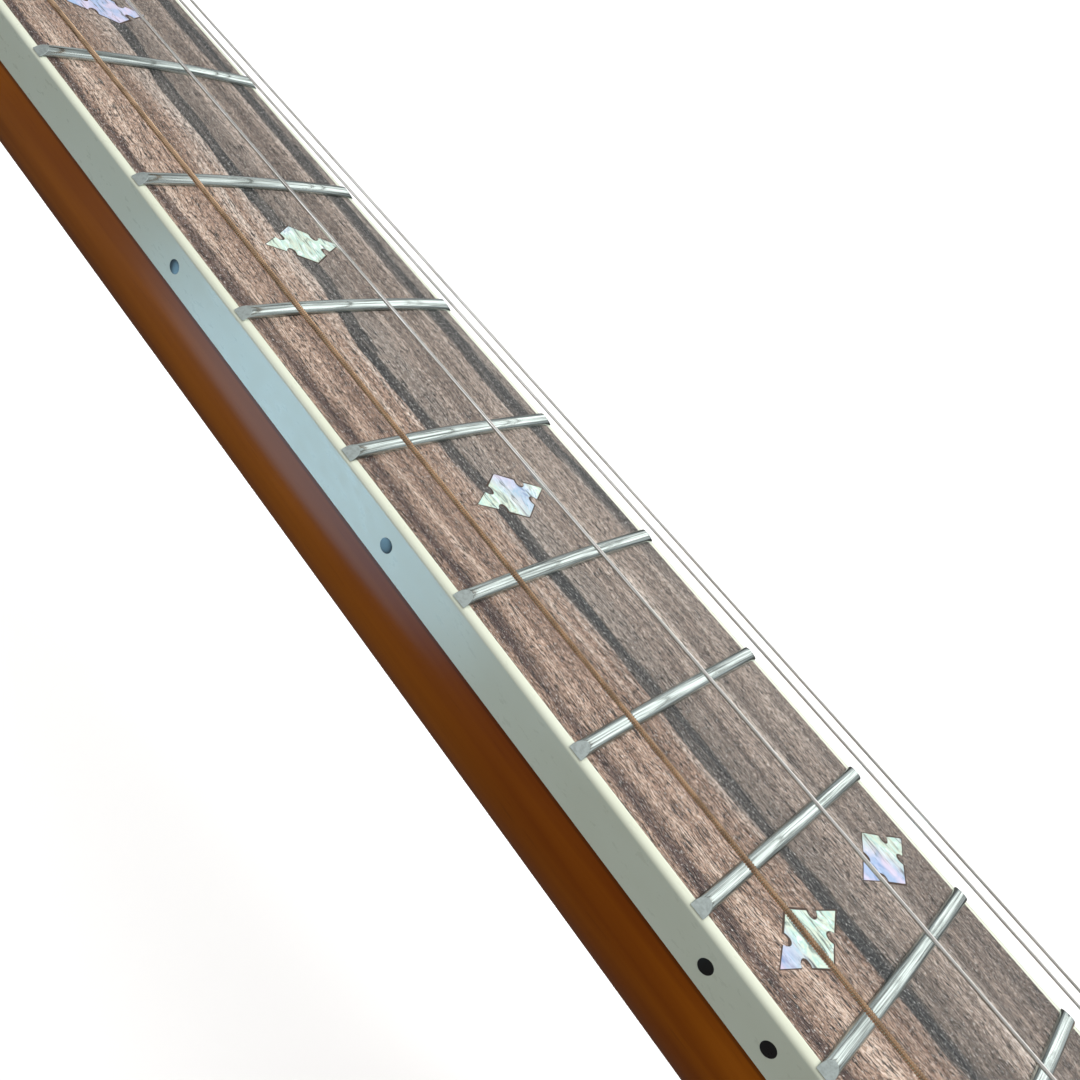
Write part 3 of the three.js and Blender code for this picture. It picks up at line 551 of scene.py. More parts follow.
def make_plastic(name, colour, deeper, roughness):
    look = Look(name, Coat_Weight=0.6, Coat_Roughness=0.08)
    clouds = look.noise((18, 9, 9), detail=3)
    scuffs = look.noise((2.5, 0.8, 0.8), detail=4, roughness=0.7)
    shade = look.mix(look.remap(clouds, 0.35, 0.65), colour, deeper)
    rough = look.spread(scuffs, roughness - 0.06, roughness + 0.1)
    return look.finish(shade, rough, scuffs, depth=0.01, strength=0.25)


def make_metal(name, bright, dull, roughness, sizes, marks=0.5, clean_ends=False):
    """Metal with fine marks that run along the longest of the sizes, and duller patches.

    clean_ends takes the marks off faces that look sideways, such as the filed ends of the frets.
    """
    look = Look(name, Metallic=1.0)
    patches = look.noise((12, 12, 12), detail=4, roughness=0.6)
    lines = look.noise(sizes, detail=4, roughness=0.65)
    # Sideways faces lose the dark lines: partly the filed finish of the fret ends, partly a painted highlight
    # that keeps those ends bright.
    if clean_ends:
        faces_out = look.math("ABSOLUTE", look.parts(look.add("NewGeometry", {}, "Normal"))[1])
        marked = look.remap(faces_out, 0.2, 0.4, 1.0, 0.0)
        filed = look.spread(look.noise((0.5, 0.5, 0.5), detail=2), 0.4, 0.47)
        lines = look.add("Mix", {"Factor": marked, 2: filed, 3: lines})
    colour = look.mix(look.remap(lines, 0.42, 0.66, 0.0, marks), bright, dull)
    blotches = look.spread(patches, -0.03, 0.05)
    rough = look.plus(look.spread(lines, roughness - 0.03, roughness + 0.08), blotches)
    return look.finish(colour, rough, lines, depth=0.006, strength=0.35)


def make_spun_metal(name, bright, dull):
    """Metal spun about the resonator's axis, with fine rings."""
    look = Look(name, Metallic=1.0)
    x, y, _ = look.parts(look.place())
    flat = look.vector(look.math("SUBTRACT", x, SCALE), y)
    radius = look.add("VectorMath", {0: flat}, "Value", operation="LENGTH")
    rings = look.noise(look.vector(look.math("DIVIDE", radius, 0.5)), detail=4)
    colour = look.mix(look.remap(rings, 0.35, 0.65), bright, dull)
    rough = look.spread(rings, 0.24, 0.42)
    return look.finish(colour, rough, rings, depth=0.03, strength=0.4)


def make_abalone():
    look = Look("abalone_shell", Coat_Weight=0.15, Coat_Roughness=0.1, Specular_IOR_Level=0.3)
    swirl = look.noise((4, 4, 4), detail=3, distortion=1.6, scale=0.7)
    layers = look.noise((6.0, 2.2, 3), detail=4, roughness=0.6, distortion=2.2)
    colour = look.ramp(layers, (0.30, (78, 92, 92)), (0.38, (134, 152, 142)),
                       (0.46, (202, 212, 194)), (0.54, (162, 198, 190)),
                       (0.61, (224, 232, 224)), (0.70, (136, 170, 178)))
    patch = look.noise((26, 14, 14), detail=1)
    hue = look.mix(look.remap(swirl, 0.42, 0.6), (132, 154, 204), (196, 180, 212))
    colour = look.mix(look.remap(patch, 0.46, 0.56, 0.0, 0.75), colour, hue)
    veins = look.noise((4.0, 0.6, 2), detail=3, distortion=1.6)
    colour = look.mix(look.remap(veins, 0.60, 0.66, 0.0, 0.75), colour, (60, 68, 66))
    rough = look.spread(layers, 0.3, 0.5)
    return look.finish(colour, rough, layers, depth=0.02, strength=0.4)


# Colours of three numbers are 0-255 display values.
LOOKS = {
    "rosewood": make_rosewood(),
    "amber_wood": make_amber_wood(),
    "pale_wood": make_plain_wood("pale_wood", (192, 156, 110), (216, 184, 138), (166, 130, 88)),
    "ebony": make_plain_wood("ebony", (22, 19, 17), (36, 31, 28), (10, 9, 8), 0.3,
                             Coat_Weight=0.4),
    "cream_plastic": make_plastic("cream_binding", (208, 213, 195), (203, 207, 187), 0.3),
    "tuner_button": make_plastic("cream_knob", (226, 218, 192), (206, 194, 160), 0.2),
    "nickel": make_metal("polished_nickel", (214, 210, 202), (186, 182, 174), 0.12, (6, 2, 2), 0.2),
    # Fret wire: its very dark lines along the crown are partly polish marks and partly painted dark
    # reflections.
    "fret_nickel": make_metal("fret_metal", (208, 220, 217), (74, 80, 76), 0.18, (0.24, 16, 6),
                              0.85, clean_ends=True),
    "aluminium": make_spun_metal("spun_aluminium", (206, 208, 210), (168, 170, 172)),
    "steel": make_metal("steel", (186, 188, 190), (140, 142, 144), 0.3, (2, 2, 2)),
    "steel_string": make_metal("plain_string", (232, 231, 227), (176, 173, 166), 0.2,
                               (9, 0.3, 0.3), 0.6),
    "bronze_string": make_metal("bronze_winding", (210, 178, 146), (74, 60, 50), 0.2, (3, 1, 1)),
    "abalone": make_abalone(),
    "filler": make_plain_wood("dark_filler", (62, 50, 44), (78, 64, 56), (34, 27, 23), 0.8),
    "black_dot": make_plastic("black_dot", (20, 23, 24), (10, 12, 13), 0.3),
    "black_cloth": make_plain_wood("black_cloth", (16, 15, 15), (30, 28, 27), (8, 8, 8), 0.9),
    "brass": make_metal("brass", (214, 180, 110), (160, 126, 70), 0.22, (1, 1, 1)),
}


def piece(name, mesh, look, replaces=(), body="guitar", place=NECK, smooth=32):
    """Puts a shape into the row frame as a piece that rides on a body, shaded by its larger faces."""
    mesh.transform(place)
    mesh.materials.clear()
    mesh.materials.append(LOOKS[look])
    mesh.shade_smooth()
    mesh.set_sharp_from_angle(angle=math.radians(smooth))
    made = linked(name, mesh)
    made.modifiers.new("weighted_normals", "WEIGHTED_NORMAL").keep_sharp = True
    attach(made, body)
    if replaces:
        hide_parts(*replaces)
    return made


def dress(node, look, edge=0.0):
    """Gives a CAD node its material, and eases its edges by that many millimetres."""
    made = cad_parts[node]
    made.data.materials.clear()
    made.data.materials.append(LOOKS[look])
    if edge:
        bevel = made.modifiers.new("eased_edges", "BEVEL")
        bevel.width = edge * MM
        bevel.segments = 2
        bevel.limit_method = "ANGLE"
        bevel.harden_normals = False


def screw_head(radius, height):
    """Domed screw head with a cross recess, its underside at z = 0."""
    dome = [(0, height)] + [(radius * math.sin(a), height * math.cos(a)) for a in (0.4, 0.8, 1.2)]
    dome += [(radius, height * 0.2), (radius, -0.3), (0, -0.3)]
    head = lathe(dome, 24)
    reach, half = radius * 0.62, radius * 0.13
    bars = [box(-reach, reach, -half, half, height * 0.45, height + 1),
            box(-half, half, -reach, reach, height * 0.45, height + 1)]
    return cut(cut(head, bars[0]), bars[1])


def screws(name, radius, height, spots, body="guitar", place=NECK):
    """Piece with a screw head at each spot."""
    piece(name, moved(screw_head(radius, height), *spots), "nickel", (), body, place)


# --- Fretboard

BOARD_STRIPS = 32


def board_blank(inset, lift, bottom):
    rings = []
    for x in (0, BOARD_END - inset):
        half = board_half(x) - inset
        ys = [half * (1 - 2 * i / BOARD_STRIPS) for i in range(BOARD_STRIPS + 1)]
        top = [(x, y, arch_z(x, y) + lift) for y in ys]
        rings.append(top + [(x, -half, bottom), (x, half, bottom)])
    return loft(rings)


piece("board_wood", board_blank(BINDING + 0.03, 0, BOARD_BOTTOM), "rosewood", ["fretboard"])


def binding_section(corner, outward):
    """Section of the binding strip; outward leads from its inner edge, mitred where two runs meet."""
    rounding = 0.6
    profile = [(0, BOARD_BOTTOM), (1, BOARD_BOTTOM), (1, -rounding)]
    profile += [(1 - rounding / BINDING * (1 - math.cos(a)), -rounding * (1 - math.sin(a)))
                for a in (math.pi / 6, math.pi / 3, QUARTER)]
    profile += [(0.2, 0), (0, 0)]
    ring = []
    for share, z in profile:
        spot = corner + outward * share
        ring.append((spot.x, spot.y, z if z < 0 else arch_z(spot.x, spot.y)))
    return ring


def make_board_binding():
    """Strip along one side, across the end and back along the other side."""
    inner = BOARD_END - BINDING
    runs = []
    for side in (1, -1):
        corners = [(Vector((x, side * (board_half(x) - BINDING))), Vector((out, side * BINDING)))
                   for x, out in ((0, 0), (inner * 0.5, 0), (inner - 2, 0), (inner, BINDING))]
        runs.append([binding_section(corner, outward) for corner, outward in corners])
    reach = board_half(inner) - 2 * BINDING
    end = [binding_section(Vector((inner, reach * (1 - i / 8))), Vector((BINDING, 0))) for i in range(17)]
    return loft([*runs[0], *end, *reversed(runs[1])])


piece("board_binding", make_board_binding(), "cream_plastic", ["fretboard_binding"])

FRET = Sizes(half=1.015, crown=1.1, foot=0.2, neck=0.985, sunk=0.02, inset=0.12, bevel=1.4)


def make_fret(n):
    """Crown over the arched board; each end is filed to a flat that leans inwards, and eased."""
    x, edge = fret_x(n), board_half(fret_x(n)) - FRET.inset
    crown = [(FRET.half * math.cos(a) * FRET.neck, FRET.foot + (FRET.crown - FRET.foot) * math.sin(a))
             for a in [math.pi * i / 12 for i in range(13)]]
    profile = [(FRET.half, 0), *crown, (-FRET.half, 0)]

    def ring(y, side=0):
        points = []
        for across, z in profile:
            place = y - side * z * FRET.bevel
            points.append((x + across, place, arch_z(x, place) + z - FRET.sunk))
        return points

    inner = edge - FRET.crown * FRET.bevel - 0.5
    middles = [ring(inner * (i / 6 - 1)) for i in range(13)]
    return bevelled(loft([ring(-edge, -1), *middles, ring(edge, 1)]), 0.16, 3, 40)


for number in range(1, FRET_COUNT + 1):
    piece(f"fret_wire_{number:02d}", make_fret(number), "fret_nickel", [f"fret_{number:02d}"])

# Shell diamond across the board, with a round notch in the middle of each edge.
INLAY = Sizes(half_long=3.75, half_wide=6.65, notch=0.85, filler=0.1)
random.seed(12)
INLAYS = [(3, 0), (5, 0), (7, 0), (9, 0), (12, -9.8), (12, 11.9), (15, 0), (17, 0)]


def diamond(grow=0.0, ragged=0.0):
    long, wide = INLAY.half_long, INLAY.half_wide
    tips = [Vector(tip) * (1 + grow / long) for tip in ((long, 0), (0, wide), (-long, 0), (0, -wide))]
    outline = []
    for tip, following in zip(tips, tips[1:] + tips[:1]):
        middle, edge = (tip + following) / 2, (following - tip).normalized()
        into = Vector((-edge.y, edge.x))
        radius = INLAY.notch - grow
        outline.append(tip)
        for i in range(9):
            angle = math.pi * i / 8
            outline.append(middle - edge * radius * math.cos(angle) * 0.9
                           + into * radius * (math.sin(angle) * 1.25 + 0.1))
    return [p * (1 + random.uniform(-0.2, 1) * ragged / p.length) for p in outline]


def make_inlay(n, y, grow, lift, ragged=0.0):
    turned = [(p.x + space_middle(n), p.y + y) for p in diamond(grow, ragged)]
    return common(board_blank(BINDING, lift, -1), plate([turned], -0.8, 3))


for n, y in INLAYS:
    side = "_bass" if y < 0 else "_treble" if y > 0 else ""
    piece(f"inlay_filler_{n:02d}{side}", make_inlay(n, y, INLAY.filler, 0.012, 0.3), "filler")
    piece(f"inlay_shell_{n:02d}{side}", make_inlay(n, y, 0, 0.03), "abalone")

DOT = Sizes(radius=0.95, z=-3.3, spread=4.8)
DOTS = [(n, 0) for n in (3, 5, 7, 9, 15, 17)] + [(12, -DOT.spread), (12, DOT.spread)]


def make_side_dots():
    dot = lathe([(0, 0.05), (DOT.radius * 0.7, 0.045), (DOT.radius, 0.02), (DOT.radius, -1), (0, -1)], 32)
    spots = []
    for n, along in DOTS:
        x = space_middle(n) + along
        spots.append(at(x, -board_half(x), DOT.z, QUARTER, "X"))
    return moved(dot, *spots)


piece("side_dots", make_side_dots(), "black_dot")

# --- Nut and strings

NUT_TOP = high("nut").z
NUT_BACK = low("nut").x
NUT_STRING_Z, SADDLE_STRING_Z, TAIL_STRING_Z = 2.17, 8.7, -1.6
STRINGS = [
    Sizes(nut=-12.0, saddle=-20.4, radius=0.41, look="bronze_string"),
    Sizes(nut=0.9, saddle=1.2, radius=0.26, look="steel_string"),
    Sizes(nut=11.0, saddle=18.8, radius=0.2, look="steel_string"),
    Sizes(nut=13.6, saddle=21.3, radius=0.2, look="steel_string"),
]
TAIL_SPREAD = 1.16
POSTS = [(-48, -20, -1), (-100, -20, -1), (-100, 20, 1), (-48, 20, 1)]
POST_RADIUS, WRAP_Z = 3.0, 5.5
TAIL_LIP = low("tailpiece").x
WINDING = Sizes(pitch=0.3, depth=0.13, rings=4, sides=8)


def tail_y(string):
    return string.nut + (string.saddle - string.nut) * TAIL_SPREAD


def string_slots(x0, x1, where, z):
    """Cutters for the strings' notches in the nut or the saddle, with their middles at z."""
    slots = []
    for string in STRINGS:
        y, reach = getattr(string, where), string.radius + 0.1
        section = arc(y, z, reach, 180, 360, 8) + [(y + reach, z + 9), (y - reach, z + 9)]
        slots.append(loft([[(x, *spot) for spot in section] for x in (x0, x1)]))
    return slots


def make_nut():
    front, half = -0.05, HALF_AT_NUT
    section = [(front, BOARD_BOTTOM), (front, NUT_TOP - 0.1), (front - 0.3, NUT_TOP),
               (front - 1.2, NUT_TOP), (NUT_BACK + 0.3, NUT_TOP - 0.9), (NUT_BACK, NUT_TOP - 1.4),
               (NUT_BACK, BOARD_BOTTOM)]
    rings = [[(x, y, z) for x, z in section] for y in (-half, half)]
    return cut(bevelled(loft(rings), 0.35, 3), *string_slots(NUT_BACK - 1, 1, "nut", NUT_STRING_Z))


piece("string_nut", make_nut(), "cream_plastic", ["nut"])


def head_point(x, y, z):
    """Point of the headstock's frame in the neck frame."""
    return HEAD_PIVOT + Matrix.Rotation(-HEAD_TILT, 3, "Y") @ Vector((x, y, z))


def wrap_reach(string):
    """Distance from a post's axis to the middle of the string that is wound on it."""
    return POST_RADIUS + string.radius + 0.05


def string_path(string, post):
    """Path from the post over the nut and the saddle to the tailpiece."""
    x, y, side = post
    corners = [
        head_point(x, y - side * wrap_reach(string), WRAP_Z),
        (NUT_BACK + 1.5, string.nut, NUT_STRING_Z - 0.1),
        (-0.6, string.nut, NUT_STRING_Z),
        (SCALE, string.saddle, SADDLE_STRING_Z),
        (TAIL_LIP + 3.1, tail_y(string), TAIL_STRING_Z),
    ]
    return filleted(corners, 0.9, 4)


def winding(start, end, radius):
    """Straight string with the ridges of the wire that is wound round it."""
    turns = (end - start).length / WINDING.pitch
    along = (end - start).normalized()
    across = along.orthogonal().normalized()
    over = along.cross(across)
    rings = []
    for i in range(int(turns * WINDING.rings) + 1):
        share = i / (turns * WINDING.rings)
        ring = []
        for j in range(WINDING.sides):
            angle = TURN * j / WINDING.sides
            ridge = math.cos(TURN * i / WINDING.rings - angle)
            reach = radius - WINDING.depth * (0.5 - 0.5 * ridge)
            ring.append(start.lerp(end, share) + (across * math.cos(angle) + over * math.sin(angle)) * reach)
        rings.append(ring)
    return loft(rings)


def make_string(string, path):
    """Round string; the bronze one has its winding between the nut and the saddle."""
    if string.look != "bronze_string":
        return tube(path, string.radius, 10)
    nut_side = next(i for i, p in enumerate(path) if p.x > -0.5)
    saddle_side = next(i for i, p in enumerate(path) if p.x > SCALE - 2)
    return joined(tube(path[:nut_side + 1], string.radius, 10),
                  winding(path[nut_side], path[saddle_side], string.radius),
                  tube(path[saddle_side:], string.radius, 10))


def make_post_wraps(string, post):
    """Turns of the string round its post, its end in the post's hole; in the headstock's frame."""
    x, y, side = post
    reach, turns, steps = wrap_reach(string), 3, 20
    start = -side * QUARTER
    path = []
    for i in range(turns * steps + 1):
        angle = start + side * TURN * i / steps
        drop = max(string.radius, 0.3) * 2.15 * i / steps
        across, along = polar(reach, angle)
        path.append(Vector((x + across, y + along, WRAP_Z - drop)))
    inward = Vector((x, y, path[-1].z)) - path[-1]
    path.append(path[-1] + inward * 0.5)
    return tube(path, string.radius, 10)


ball = lathe([(0.35, -1.7), (1.1, -1.7), (1.3, -1.4), (0.95, -0.8), (0.95, 0.8), (1.3, 1.4), (1.1, 1.7),
              (0.35, 1.7)], 24)
for number, (string, post) in enumerate(zip(STRINGS, POSTS), 1):
    line, wraps = make_string(string, string_path(string, post)), make_post_wraps(string, post)
    piece(f"string_line_{number}", line, string.look, [f"string_{number}"], smooth=60)
    piece(f"post_wraps_{number}", wraps, string.look, body=f"post_{number}", place=HEAD, smooth=60)
    spot = at(TAIL_LIP + 3.6, tail_y(string), TAIL_STRING_Z, QUARTER, "X")
    piece(f"string_ball_{number}", moved(ball, spot), "brass", smooth=40)

# --- Neck and headstock

HEAD_LENGTH, HEAD_VENEER, HEAD_BACK = 165, 2.0, -16.4
TRUSS_COVER = Sizes(start=-2, half=8, end=-27, bottom=0.2, top=1.6)
HEEL_START, HEEL_DEPTH = 314, -low("neck").z
NECK_DEPTH_NUT, NECK_DEPTH_12TH = 22.3, 24.0
NECK_CURVE, HEAD_CURVE, HEEL_CURVE = 2.8, 12, 2.2
POST_HOLE = 3.6


def head_half_outline():
    """Half of the headstock's plan, from the nut to the middle of its end, with y >= 0."""
    w0, w1, w2, end = 17.2, 31.5, 33.5, -HEAD_LENGTH
    return (bezier((0, w0), (-14, w0 + 1), (-18, w1), (-38, w1), 20)
            + bezier((-38, w1), (-80, w1), (-110, w2 - 3), (end + 10, w2), 20)
            + bezier((end + 10, w2), (end + 2, w2 - 9), (end - 1, 12), (end, 0), 16))


HEAD_HALF = head_half_outline()
HEAD_OUTLINE = mirrored([*HEAD_HALF, Vector((-HEAD_LENGTH, 0))])
HEAD_TIP = min(p.x for p in HEAD_HALF)


def head_half_width(x):
    """Half width of the headstock's plan at x, from the outline up to its foremost point."""
    for a, b in zip(HEAD_HALF, HEAD_HALF[1:]):
        if b.x <= x <= a.x and a.x > b.x:
            return a.y + (b.y - a.y) * (a.x - x) / (a.x - b.x)
    return HEAD_HALF[-1 if x < -HEAD_LENGTH / 2 else 0].y


def neck_ring(half, top, bottom, curve):
    """Flat-topped section as (y, z): a superellipse below a straight top."""
    steps, flat = 44, 8
    ring = []
    for i in range(steps + 1):
        c, s = polar(1, math.pi * i / steps)
        ring.append((half * signed_power(c, 2 / curve), top - (top - bottom) * max(s, 0) ** (2 / curve)))
    return ring + [(half * (2 * i / flat - 1), top) for i in range(1, flat)]


def shaft_depth(x):
    return NECK_DEPTH_NUT + (NECK_DEPTH_12TH - NECK_DEPTH_NUT) * x / fret_x(12)


def make_neck():
    rings = []
    heel_end = BODY_START - 0.25
    top = BOARD_BOTTOM - SEAM
    for i in range(24, 0, -1):
        angle = QUARTER * i / 24
        x = HEEL_START + (heel_end - HEEL_START) * math.sin(angle)
        bottom = -shaft_depth(x) - (HEEL_DEPTH - shaft_depth(x)) * (1 - math.cos(angle))
        curve = NECK_CURVE - (NECK_CURVE - HEEL_CURVE) * math.sin(angle)
        rings.append([(x, y, z) for y, z in neck_ring(board_half(x), top, bottom, curve)])
    x = HEEL_START
    while x > 4:
        rings.append([(x, y, z) for y, z in neck_ring(board_half(x), top, -shaft_depth(x), NECK_CURVE)])
        x -= 10
    fillet, head_top = 2.5, -HEAD_VENEER - 0.03
    stations = [3 - i for i in range(52)] + [-49 - 4 * i for i in range(1, 26)]
    stations += [HEAD_TIP + fillet + 1.5 * i for i in range(7, -1, -1)]
    stations += [HEAD_TIP + fillet * (1 - math.sin(math.pi / 16 * i)) for i in range(1, 9)]
    back_at_nut = -shaft_depth(0) - HEAD_PIVOT.z
    for along in stations:
        tilt = HEAD_TILT * smoothstep(3, -14, along)
        swell = 1 - smoothstep(-2, -46, along)
        half = head_half_width(along) if along < 0 else board_half(along + HEAD_PIVOT.x) + 0.05
        bottom = HEAD_BACK + (back_at_nut - HEAD_BACK) * swell - 1.6 * smoothstep(2, -10, along) * swell ** 2
        past = max(0, HEAD_TIP + fillet - along) / fillet
        bottom += fillet * quarter(past)
        curve = NECK_CURVE + (HEAD_CURVE - NECK_CURVE) * smoothstep(0, -38, along)
        crest = head_top if along < 0 else top - HEAD_PIVOT.z
        turn = Matrix.Rotation(-tilt, 3, "Y")
        base = head_point(along, 0, 0) if along < 0 else HEAD_PIVOT + Vector((along, 0, 0))
        rings.append([base + turn @ Vector((0, y, z)) for y, z in neck_ring(half, crest, bottom, curve)])
    spots = [at(*head_point(x, y, 0), -HEAD_TILT, "Y") for x, y, _ in POSTS]
    return cut(loft(rings), moved(cylinder(POST_HOLE, 6, -30, 32), *spots))


piece("neck_wood", make_neck(), "amber_wood", ["neck"], smooth=38)

veneer = plate([HEAD_OUTLINE] + [circle(x, y, POST_HOLE, 32) for x, y, _ in POSTS], -HEAD_VENEER, 0, 0.35)
piece("head_veneer", veneer, "ebony", ["headstock_veneer"], place=HEAD)


def make_truss_cover():
    start, half, end = TRUSS_COVER.start, TRUSS_COVER.half, TRUSS_COVER.end
    edge = bezier((start, half), (-10, half), (-20, 7), (end, 0), 16) + [Vector((end, 0))]
    return plate([mirrored(edge)], TRUSS_COVER.bottom, TRUSS_COVER.top, 0.4)


piece("truss_cover", make_truss_cover(), "cream_plastic", ["truss_rod_cover"], place=HEAD)
truss_screws = [at(x, y, TRUSS_COVER.top - 0.05) for x, y in ((-4.5, -5.2), (-4.5, 5.2), (-22.5, 0))]
screws("truss_cover_screws", 1.6, 0.9, truss_screws, place=HEAD)

# --- Body

UPPER_BOUT, WAIST, LOWER_BOUT = 256, 220, 374


def body_outline(inset):
    """Plan of the body moved inwards by an even distance."""
    length, upper, waist, lower = BODY_END - BODY_START, UPPER_BOUT / 2, WAIST / 2, LOWER_BOUT / 2

    def bend(a, b, c, d, steps):
        return bezier(*[(BODY_START + x, y) for x, y in (a, b, c, d)], steps)

    half = (bend((0, 27), (0, 90), (34, upper), (80, upper), 30)
            + bend((80, upper), (118, upper), (124, waist), (154, waist), 20)
            + bend((154, waist), (200, waist), (250, lower), (340, lower), 30)
            + bend((340, lower), (440, lower), (length, 112), (length, 0), 40) + [Vector((BODY_END, 0))])
    loop = mirrored(half)
    outline = []
    for i, point in enumerate(loop):
        before, after = loop[i - 1], loop[(i + 1) % len(loop)]
        along = (after - before).normalized()
        moved_in = point + Vector((along.y, -along.x)) * inset
        outline.append((moved_in.x, moved_in.y))
    return outline


screen = (low("treble_sound_hole_screen") + high("treble_sound_hole_screen")) / 2
SOUND_HOLE = Sizes(x=screen.x, y=screen.y, radius=29.6, mesh=2.5, wire=0.34, cloth=0.5)
WELL_RADIUS = 134.8
PURFLING = 0.6
TOP_SEAM = BODY_BINDING + PURFLING


def body_ring(outer, inner, z0, z1, edge):
    return plate([body_outline(outer), body_outline(inner)], z0, z1, edge)


top_bottom, back_top = WOOD_TOP - PLATE_THICK, BODY_BOTTOM + PLATE_THICK
holes = [circle(SCALE, 0, WELL_RADIUS, 128)]
holes += [circle(SOUND_HOLE.x, side * SOUND_HOLE.y, SOUND_HOLE.radius) for side in (-1, 1)]
piece("soundboard", plate([body_outline(TOP_SEAM + SEAM)] + holes, top_bottom, WOOD_TOP, 0.1), "amber_wood",
      ["body_top"])
piece("top_purfling", body_ring(BODY_BINDING, TOP_SEAM, top_bottom + 1, WOOD_TOP - 0.01, 0.03), "filler")
piece("top_edge_binding", body_ring(0, BODY_BINDING, top_bottom, WOOD_TOP, 0.45), "cream_plastic",
      ["top_binding"])
piece("rim_wood", body_ring(0.02, 3, back_top + SEAM, top_bottom - SEAM, 0.05), "amber_wood", ["body_sides"])
piece("back_plate", plate([body_outline(TOP_SEAM + SEAM)], BODY_BOTTOM, back_top, 0.1), "amber_wood",
      ["body_back"])
piece("back_purfling", body_ring(BODY_BINDING, TOP_SEAM, BODY_BOTTOM + 0.01, back_top - 1, 0.03), "filler")
piece("back_edge_binding", body_ring(0, BODY_BINDING, BODY_BOTTOM + 0.2, back_top, 0.45), "cream_plastic",
      ["back_binding"])


def screen_ring():
    radius, seat = SOUND_HOLE.radius, WOOD_TOP + 0.05
    corners = [(-3.4, -2.4), (-3.4, 0.6), (-2.4, 1.3), (3.6, 0.9), (4.6, 0), (-0.6, 0), (-0.6, -2.4)]
    return lathe(filleted([(radius + out, seat + up) for out, up in corners], 0.3, 3), 96)


def screen_wires():
    """Woven wire: two sets of bent wires that pass over and under each other."""
    reach, gap, radius = SOUND_HOLE.radius - 3.5, SOUND_HOLE.mesh, SOUND_HOLE.wire
    count = int(reach / gap)
    wires = []
    for direction in (0, 1):
        for k in range(-count, count + 1):
            offset = k * gap
            half = math.sqrt(reach ** 2 - offset ** 2)
            steps = max(4, int(2 * half / gap * 2))
            path = []
            for i in range(steps + 1):
                along = -half + 2 * half * i / steps
                lift = radius * math.cos(math.pi * (along / gap + k + direction))
                path.append(Vector((along, offset, lift) if direction == 0 else (offset, along, lift)))
            wires.append(tube(path, radius, 6))
    return joined(*wires)


wires = screen_wires()
for side, name in ((-1, "bass"), (1, "treble")):
    spot = at(SOUND_HOLE.x, side * SOUND_HOLE.y, 0)
    piece(f"{name}_screen_ring", moved(screen_ring(), spot), "nickel", [f"{name}_sound_hole_screen"],
          smooth=50)
    crossed = spot @ at(0, 0, WOOD_TOP - 0.4, math.pi / 4)
    piece(f"{name}_screen_wires", moved(wires, crossed), "nickel", smooth=60)
    cloth_top = WOOD_TOP - 1.6
    cloth = cylinder(SOUND_HOLE.radius - 3.6, cloth_top, cloth_top - SOUND_HOLE.cloth, 64)
    piece(f"{name}_screen_cloth", moved(cloth, spot), "black_cloth")

# --- Resonator

COVER_RADIUS = (high("coverplate").x - low("coverplate").x) / 2
COVER_TOP = high("coverplate").z
COVER = Sizes(plateau=62, shoulder=100, fall=2.2, bowl=125, open_x=13, open_y=38, thick=1.0,
              screws=9, screw_ring=135, slots=16, slot_starts=(94, 76), slot_end=112)
COVER_FLANGE = WOOD_TOP + 0.2 + COVER.thick


def taper_slot(angle, start, end):
    """Cutter for a slot that widens outwards, with round ends."""
    outline = arc(start, 0, 2.2, 90, 270, 10) + arc(end, 0, 3.6, -90, 90, 12)
    return moved(plate([outline], -20, 10), Matrix.Rotation(angle, 4, "Z"))


def make_coverplate():
    """Domed sheet with slots round it and an opening for the saddle."""
    upper = filleted([(0, COVER_TOP), (COVER.plateau, COVER_TOP), (COVER.shoulder, COVER_TOP - COVER.fall),
                      (COVER.bowl - 2, COVER_FLANGE + 1.0), (COVER.bowl + 3, COVER_FLANGE),
                      (COVER_RADIUS - 0.8, COVER_FLANGE)], 1.6)
    rim = [Vector((COVER_RADIUS, COVER_FLANGE - drop)) for drop in (0.4, COVER.thick)]
    lower = [Vector((max(p.x - 0.3, 0), p.y - COVER.thick)) for p in reversed(upper)]
    shell = lathe(upper + rim + lower, 128)
    slots = [taper_slot(TURN * (i + 0.5) / COVER.slots, COVER.slot_starts[i % 2], COVER.slot_end)
             for i in range(COVER.slots)]
    x, y = COVER.open_x, COVER.open_y
    opening = plate([[(-x, -y), (x, -y), (x, y), (-x, y)]], -20, 10)
    return moved(bevelled(cut(shell, opening, *slots), 0.22, 2, 50), at(SCALE, 0, 0))


piece("resonator_cover", make_coverplate(), "nickel", ["coverplate"])
rim_screws = []
for i in range(COVER.screws):
    angle = TURN * (i + 0.25) / COVER.screws
    x, y = polar(COVER.screw_ring, angle)
    rim_screws.append(at(SCALE + x, y, COVER_FLANGE, angle))
screws("cover_screws", 2.6, 1.3, rim_screws)


REST = Sizes(inside=46.5, foot=57.6, thick=1.8, screw_x=7, screw_y=53.2)


def make_hand_rest():
    """Strap over the saddle, with a foot at each end."""
    foot, half_thick = REST.foot, REST.thick / 2
    y, z = REST.inside + half_thick, COVER_TOP + 0.05 + half_thick
    crest = high("hand_rest").z - REST.thick + half_thick
    corners = [(-foot, z), (-y, z), (-y, crest), (y, crest), (y, z), (foot, z)]
    path = filleted([(SCALE, *p) for p in corners], 2.6, 6)
    half = (high("hand_rest").x - low("hand_rest").x) / 2
    ends = [[Vector((SCALE, side * (foot - d), z)) for d in (0, 0.6, 1.6, 3.2)] for side in (-1, 1)]
    narrow = [half - 4, half - 2.4, half - 1, half - 0.2]
    widths = narrow + [half] * (len(path) - 2) + narrow[::-1]
    return bar(ends[0] + path[1:-1] + ends[1][::-1], widths, REST.thick, Vector((1, 0, 0)), 0.7)


